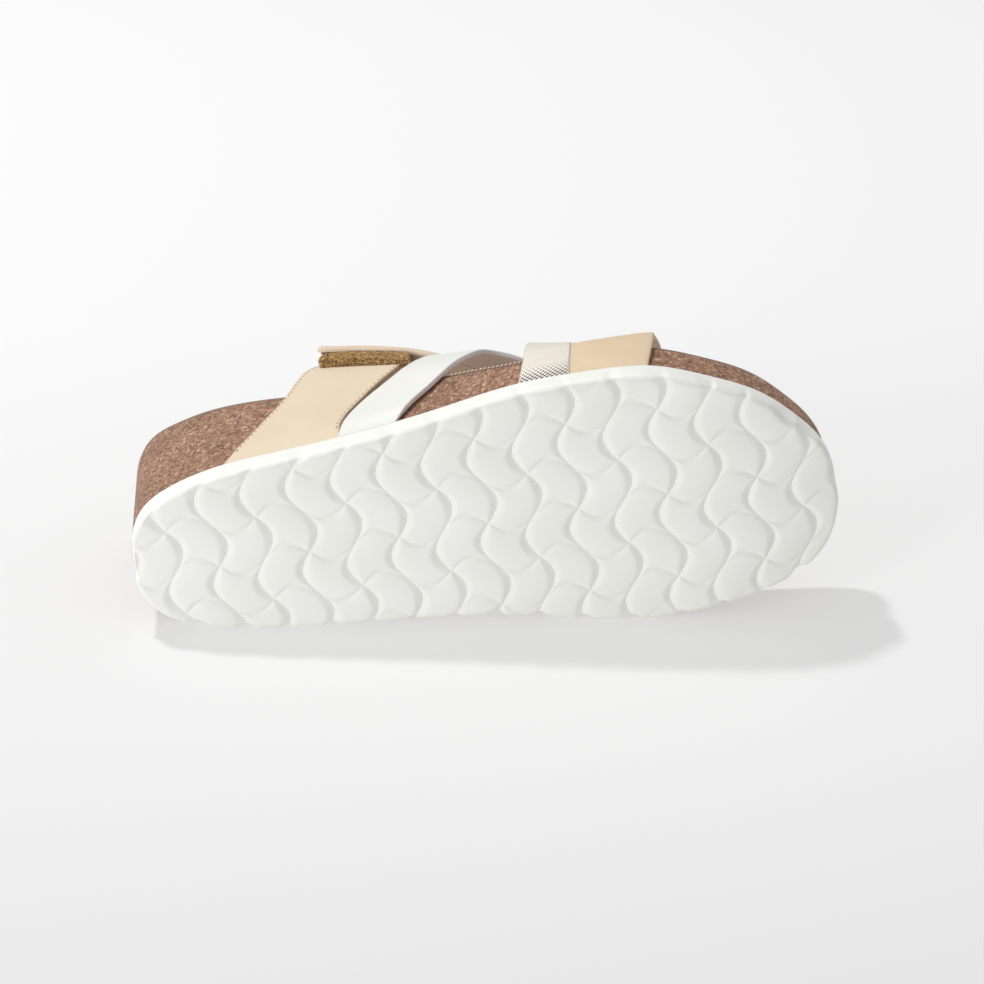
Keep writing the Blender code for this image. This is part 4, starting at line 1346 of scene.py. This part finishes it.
def grow(name, source, tree, values, finish):
    """Plain mesh piece from a tree on a source object, which is dropped."""
    maker = source.modifiers.new("maker", "NODES")
    maker.node_group = tree
    sockets = {item.name: item.identifier for item in tree.interface.items_tree if item.in_out == "INPUT"}
    for label, value in values.items():
        maker[sockets[label]] = value
    maker[sockets["Finish"]] = finish
    graph = bpy.context.evaluated_depsgraph_get()
    mesh = bpy.data.meshes.new_from_object(source.evaluated_get(graph))
    source.modifiers.remove(maker)
    bpy.data.objects.remove(source)
    mesh.materials.clear()
    mesh.materials.append(finish)
    return add_object(name, mesh)


def stitch_lines(name, lines):
    """Source for stitches: open lines of points, each with the way out."""
    points = []
    outs = []
    edges = []
    for spots, outward in lines:
        first = len(points)
        points.extend(spots)
        outs.extend(outward)
        edges.extend((first + spot, first + spot + 1) for spot in range(len(spots) - 1))
    mesh = bpy.data.meshes.new(name)
    mesh.from_pydata([tuple(point) for point in to_row(points)], edges, [])
    held = mesh.attributes.new("outward", "FLOAT_VECTOR", "POINT")
    held.data.foreach_set("vector", (np.array(outs) @ SHOE_DIRECTIONS).astype(np.float32).ravel())
    return add_object(name, mesh)


def side_line(rows, run, front=False, tilt=NO_TILT):
    """Stitch line inside a strap's rear or front edge, over a run of its girth."""
    girth = np.linspace(*run, STITCH_LINE_SPOTS)
    rear, ahead, _, _ = strap_edges(rows, girth)
    share = STITCH_INSET / (ahead - rear)
    return on_strap(rows, tilt, girth, 1 - share if front else share, np.full(len(girth), STRAP_THICK))


def rim_line(first, last, side):
    """Stitch line on the insole's edge over the waist, side 1 for lateral and -1 for medial."""
    across_from_middle = (BED_LOOP[:, 1] - middle(BED_LOOP[:, 0])) * side
    over_waist = (BED_LOOP[:, 0] > first) & (BED_LOOP[:, 0] < last) & (across_from_middle > 0)
    order = np.flatnonzero(over_waist)
    order = order[np.argsort(BED_LOOP[order, 0])]
    height = rim_height(BED_LOOP[:, 0], BED_LOOP[:, 1]) - RIM_STITCH_DROP
    edge = with_spring(stack(cork_edge(CORK_INSET_HIGH), height))
    outward = stack(-inwards(BED_LOOP), 0.0)
    return edge[order], outward[order]


def open_sides(tape):
    """Copy of a tape without its back, for the pile to grow on."""
    mesh = tape.data.copy()
    work = bmesh.new()
    work.from_mesh(mesh)
    backs = [face for face in work.faces if face.material_index == LINING_FACE]
    bmesh.ops.delete(work, geom=backs, context="FACES")
    work.to_mesh(mesh)
    work.free()
    return add_object(tape.name + "_sides", mesh)


# Finishes

foam = foam_finish()
cork = cork_finish()
bed_suede = suede_finish("insole_suede", colour(0.50, 0.345, 0.255), colour(0.62, 0.445, 0.34))
bed_edge = suede_finish("insole_edge", colour(0.20, 0.125, 0.09), colour(0.30, 0.19, 0.14))
white_lining = suede_finish("white_strap_lining", colour(0.88, 0.77, 0.68), colour(0.93, 0.83, 0.75))
lining = suede_finish("strap_lining", colour(0.84, 0.63, 0.49), colour(0.90, 0.71, 0.57))
pale_lining = suede_finish("toe_band_lining", colour(0.80, 0.68, 0.53), colour(0.86, 0.75, 0.61))
nubuck = leather("lateral_strap_nubuck", colour(0.76, 0.642, 0.478), colour(0.715, 0.585, 0.42),
                 colour(0.62, 0.47, 0.31), roughness=0.62, grain=1500.0, depth=0.12, mottle=38.0,
                 Sheen_Weight=0.08)
white = leather("white_strap_leather", colour(0.815, 0.815, 0.765), colour(0.795, 0.795, 0.745),
                colour(0.80, 0.79, 0.76), roughness=0.42, grain=1300.0, depth=0.10, wear_share=0.4)
tan = leather("toe_band_leather", colour(0.76, 0.605, 0.425), colour(0.70, 0.53, 0.345),
              colour(0.65, 0.48, 0.30), roughness=0.5, grain=1150.0, depth=0.16, mottle=45.0)
closing_tan = leather("closing_strap_leather", colour(0.80, 0.65, 0.48), colour(0.74, 0.58, 0.41),
                      colour(0.70, 0.545, 0.38), roughness=0.5, grain=1150.0, depth=0.16, mottle=45.0)
weave = woven_finish()
nubuck_edge = cut_edge_finish("lateral_strap_cut_edge", colour(0.60, 0.455, 0.305), colour(0.48, 0.355, 0.23))
white_edge = cut_edge_finish("white_strap_cut_edge", colour(0.80, 0.78, 0.775), colour(0.70, 0.68, 0.68))
tan_edge = cut_edge_finish("toe_band_cut_edge", colour(0.70, 0.55, 0.38), colour(0.60, 0.46, 0.31))
closing_edge = cut_edge_finish("closing_strap_cut_edge", colour(0.86, 0.73, 0.58), colour(0.78, 0.64, 0.49))
silver_edge = cut_edge_finish("silver_strap_cut_edge", colour(0.66, 0.61, 0.545), colour(0.54, 0.495, 0.44))
pile = fibre_finish("hook_and_loop_pile", colour(0.84, 0.51, 0.165), colour(0.16, 0.075, 0.02))
tape_cloth = fibre_finish("hook_and_loop_tape", colour(0.26, 0.15, 0.06), colour(0.18, 0.10, 0.04))
thread = thread_finish("strap_thread", colour(0.40, 0.30, 0.20), colour(0.30, 0.215, 0.135))
rim_thread = thread_finish("insole_rim_thread", colour(0.80, 0.69, 0.54), colour(0.66, 0.54, 0.40))


# Pieces

def keep(piece, slot, *nodes):
    """The piece rides with the shoe and stands for its nodes, which are hidden. The slot is not used."""
    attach(piece, "root")
    if nodes:
        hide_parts(*nodes)


keep(outsole(foam), "outsole", "outsole")
keep(footbed(cork), "footbed", "footbed")
keep(insole(bed_suede, bed_edge), "insole", "insole")
lateral_finishes = [nubuck, nubuck_edge, lining]
lateral_strap = strap("lateral_strap", LATERAL_STRAP, STRAP_THICK, lateral_finishes, (False, True))
white_strap = strap("white_strap", WHITE_STRAP, STRAP_THICK, [white, white_edge, white_lining])
silver_finishes = [weave, silver_edge, lining]
silver_strap = strap("silver_strap", SILVER_STRAP, STRAP_THICK, silver_finishes, tilt=SILVER_TILT)
toe_band = strap("toe_band", TOE_BAND, STRAP_THICK, [tan, tan_edge, pale_lining], tilt=TOE_TILT)
for upper_strap in (lateral_strap, white_strap, silver_strap, toe_band):
    keep(upper_strap, "upper", "upper")

closing_finishes = [closing_tan, closing_edge, pale_lining]
closing_strap = strap("closing_strap_leather", CLOSING_STRAP, STRAP_THICK, closing_finishes, (True, False),
                      CLOSING_TILT)
keep(closing_strap, "closing_strap", "closing_strap")

loop_tape = strap("loop_tape_cloth", LOOP_TAPE, LOOP_THICK, [tape_cloth] * 3, swell=PILE_SWELL)
hook_tape = strap("hook_tape_cloth", HOOK_TAPE, HOOK_THICK, [tape_cloth] * 3, tilt=CLOSING_TILT)
PILE = pile_tree()
loop_pile = grow("loop_tape_pile", open_sides(loop_tape), PILE, {"Seed": LOOP_SEED}, pile)
hook_pile = grow("hook_tape_pile", open_sides(hook_tape), PILE, {"Seed": HOOK_SEED}, pile)
keep(loop_tape, "loop_tape", "loop_tape")
keep(hook_tape, "hook_tape", "hook_tape")
keep(loop_pile, "loop_tape")
keep(hook_pile, "hook_tape")

STITCH = stitch_tree()
lateral_lines = stitch_lines("lateral_lines", [
    side_line(LATERAL_STRAP, LATERAL_REAR_RUN),
    side_line(LATERAL_STRAP, LATERAL_FRONT_RUN, front=True),
])
keep(grow("lateral_strap_stitches", lateral_lines, STITCH, {}, thread), "upper")
closing_lines = stitch_lines("closing_lines", [
    side_line(CLOSING_STRAP, CLOSING_RUN, tilt=CLOSING_TILT),
    side_line(CLOSING_STRAP, CLOSING_RUN, front=True, tilt=CLOSING_TILT),
])
keep(grow("closing_strap_stitches", closing_lines, STITCH, {}, thread), "closing_strap")
rim_lines = stitch_lines("rim_lines", [rim_line(*RIM_STITCH_RUN, side) for side in (1, -1)])
keep(grow("insole_rim_stitches", rim_lines, STITCH, RIM_STITCH_SIZES, rim_thread), "insole")


# Floor, light and camera

def studio_floor():
    """Pale floor with painted light falloff, darker at the front, part of it glowing as painted light so that
    its shadow stays even.
    """
    mesh = bpy.data.meshes.new("studio_floor")
    square = ((-1, -1), (1, -1), (1, 1), (-1, 1))
    corners = [(right * FLOOR_REACH, back * FLOOR_REACH, 0) for right, back in square]
    mesh.from_pydata(corners, [], [(0, 1, 2, 3)])
    made, tree, shader = new_finish("studio_floor", 0.9, Emission_Strength=1.0)
    place = object_place(tree)
    depth = node(tree, "ShaderNodeSeparateXYZ", {"Vector": place}).outputs["Y"]
    run = spread(tree, depth, *FLOOR_RUN)
    # Painted light falloff: the floor's tone ramps from darker at the front to lighter at the back, in both
    # its colour and its glow
    for share, socket in ((1 - FLOOR_GLOW, "Base Color"), (FLOOR_GLOW, "Emission Color")):
        falloff_tones = [(spot, colour(tone * share, tone * share, tone * share)) for spot, tone in FLOOR_FALLOFF_TONES]
        link(tree, ramp(tree, run, falloff_tones), shader.inputs[socket])
    mesh.materials.append(made)
    floor = add_object("studio_floor", mesh)


def soft_light(name, place, width, power):
    """Square light at a place, turned to the shoe."""
    lamp = bpy.data.lights.new(name, "AREA")
    lamp.shape = "SQUARE"
    lamp.size = width
    lamp.energy = power
    made = add_object(name, lamp)
    away = Vector(LIGHT_AIM) - Vector(place)
    made.location = place
    made.rotation_euler = away.to_track_quat("-Z", "Y").to_euler()


def photo_camera():
    """Camera at the photo's angle, set from the shoe's own directions."""
    right = np.array(CAMERA_RIGHT) @ SHOE_DIRECTIONS
    down = np.array(CAMERA_DOWN) @ SHOE_DIRECTIONS
    down = down - right * (right @ down) / (right @ right)
    right = right / np.linalg.norm(right)
    down = down / np.linalg.norm(down)
    back = np.cross(right, -down)
    place = to_row([CAMERA_PLACE])[0]
    made = bpy.data.cameras.new("photo_camera")
    made.lens = CAMERA_LENS
    made.sensor_width = SENSOR
    camera = add_object("photo_camera", made)
    turn = np.column_stack([right, -down, back])
    camera.matrix_world = Matrix.Translation(place) @ Matrix(turn.tolist()).to_4x4()
    bpy.context.scene.camera = camera


studio_floor()
soft_light("key", KEY_PLACE, KEY_WIDTH, KEY_POWER)
soft_light("fill", FILL_PLACE, FILL_WIDTH, FILL_POWER)
world = bpy.data.worlds.new("studio")
world.use_nodes = True
background = world.node_tree.nodes["Background"]
background.inputs["Color"].default_value = colour(1.0, 1.0, 1.0)
background.inputs["Strength"].default_value = WORLD_STRENGTH
bpy.context.scene.world = world
bpy.context.scene.view_settings.view_transform = "Standard"
photo_camera()
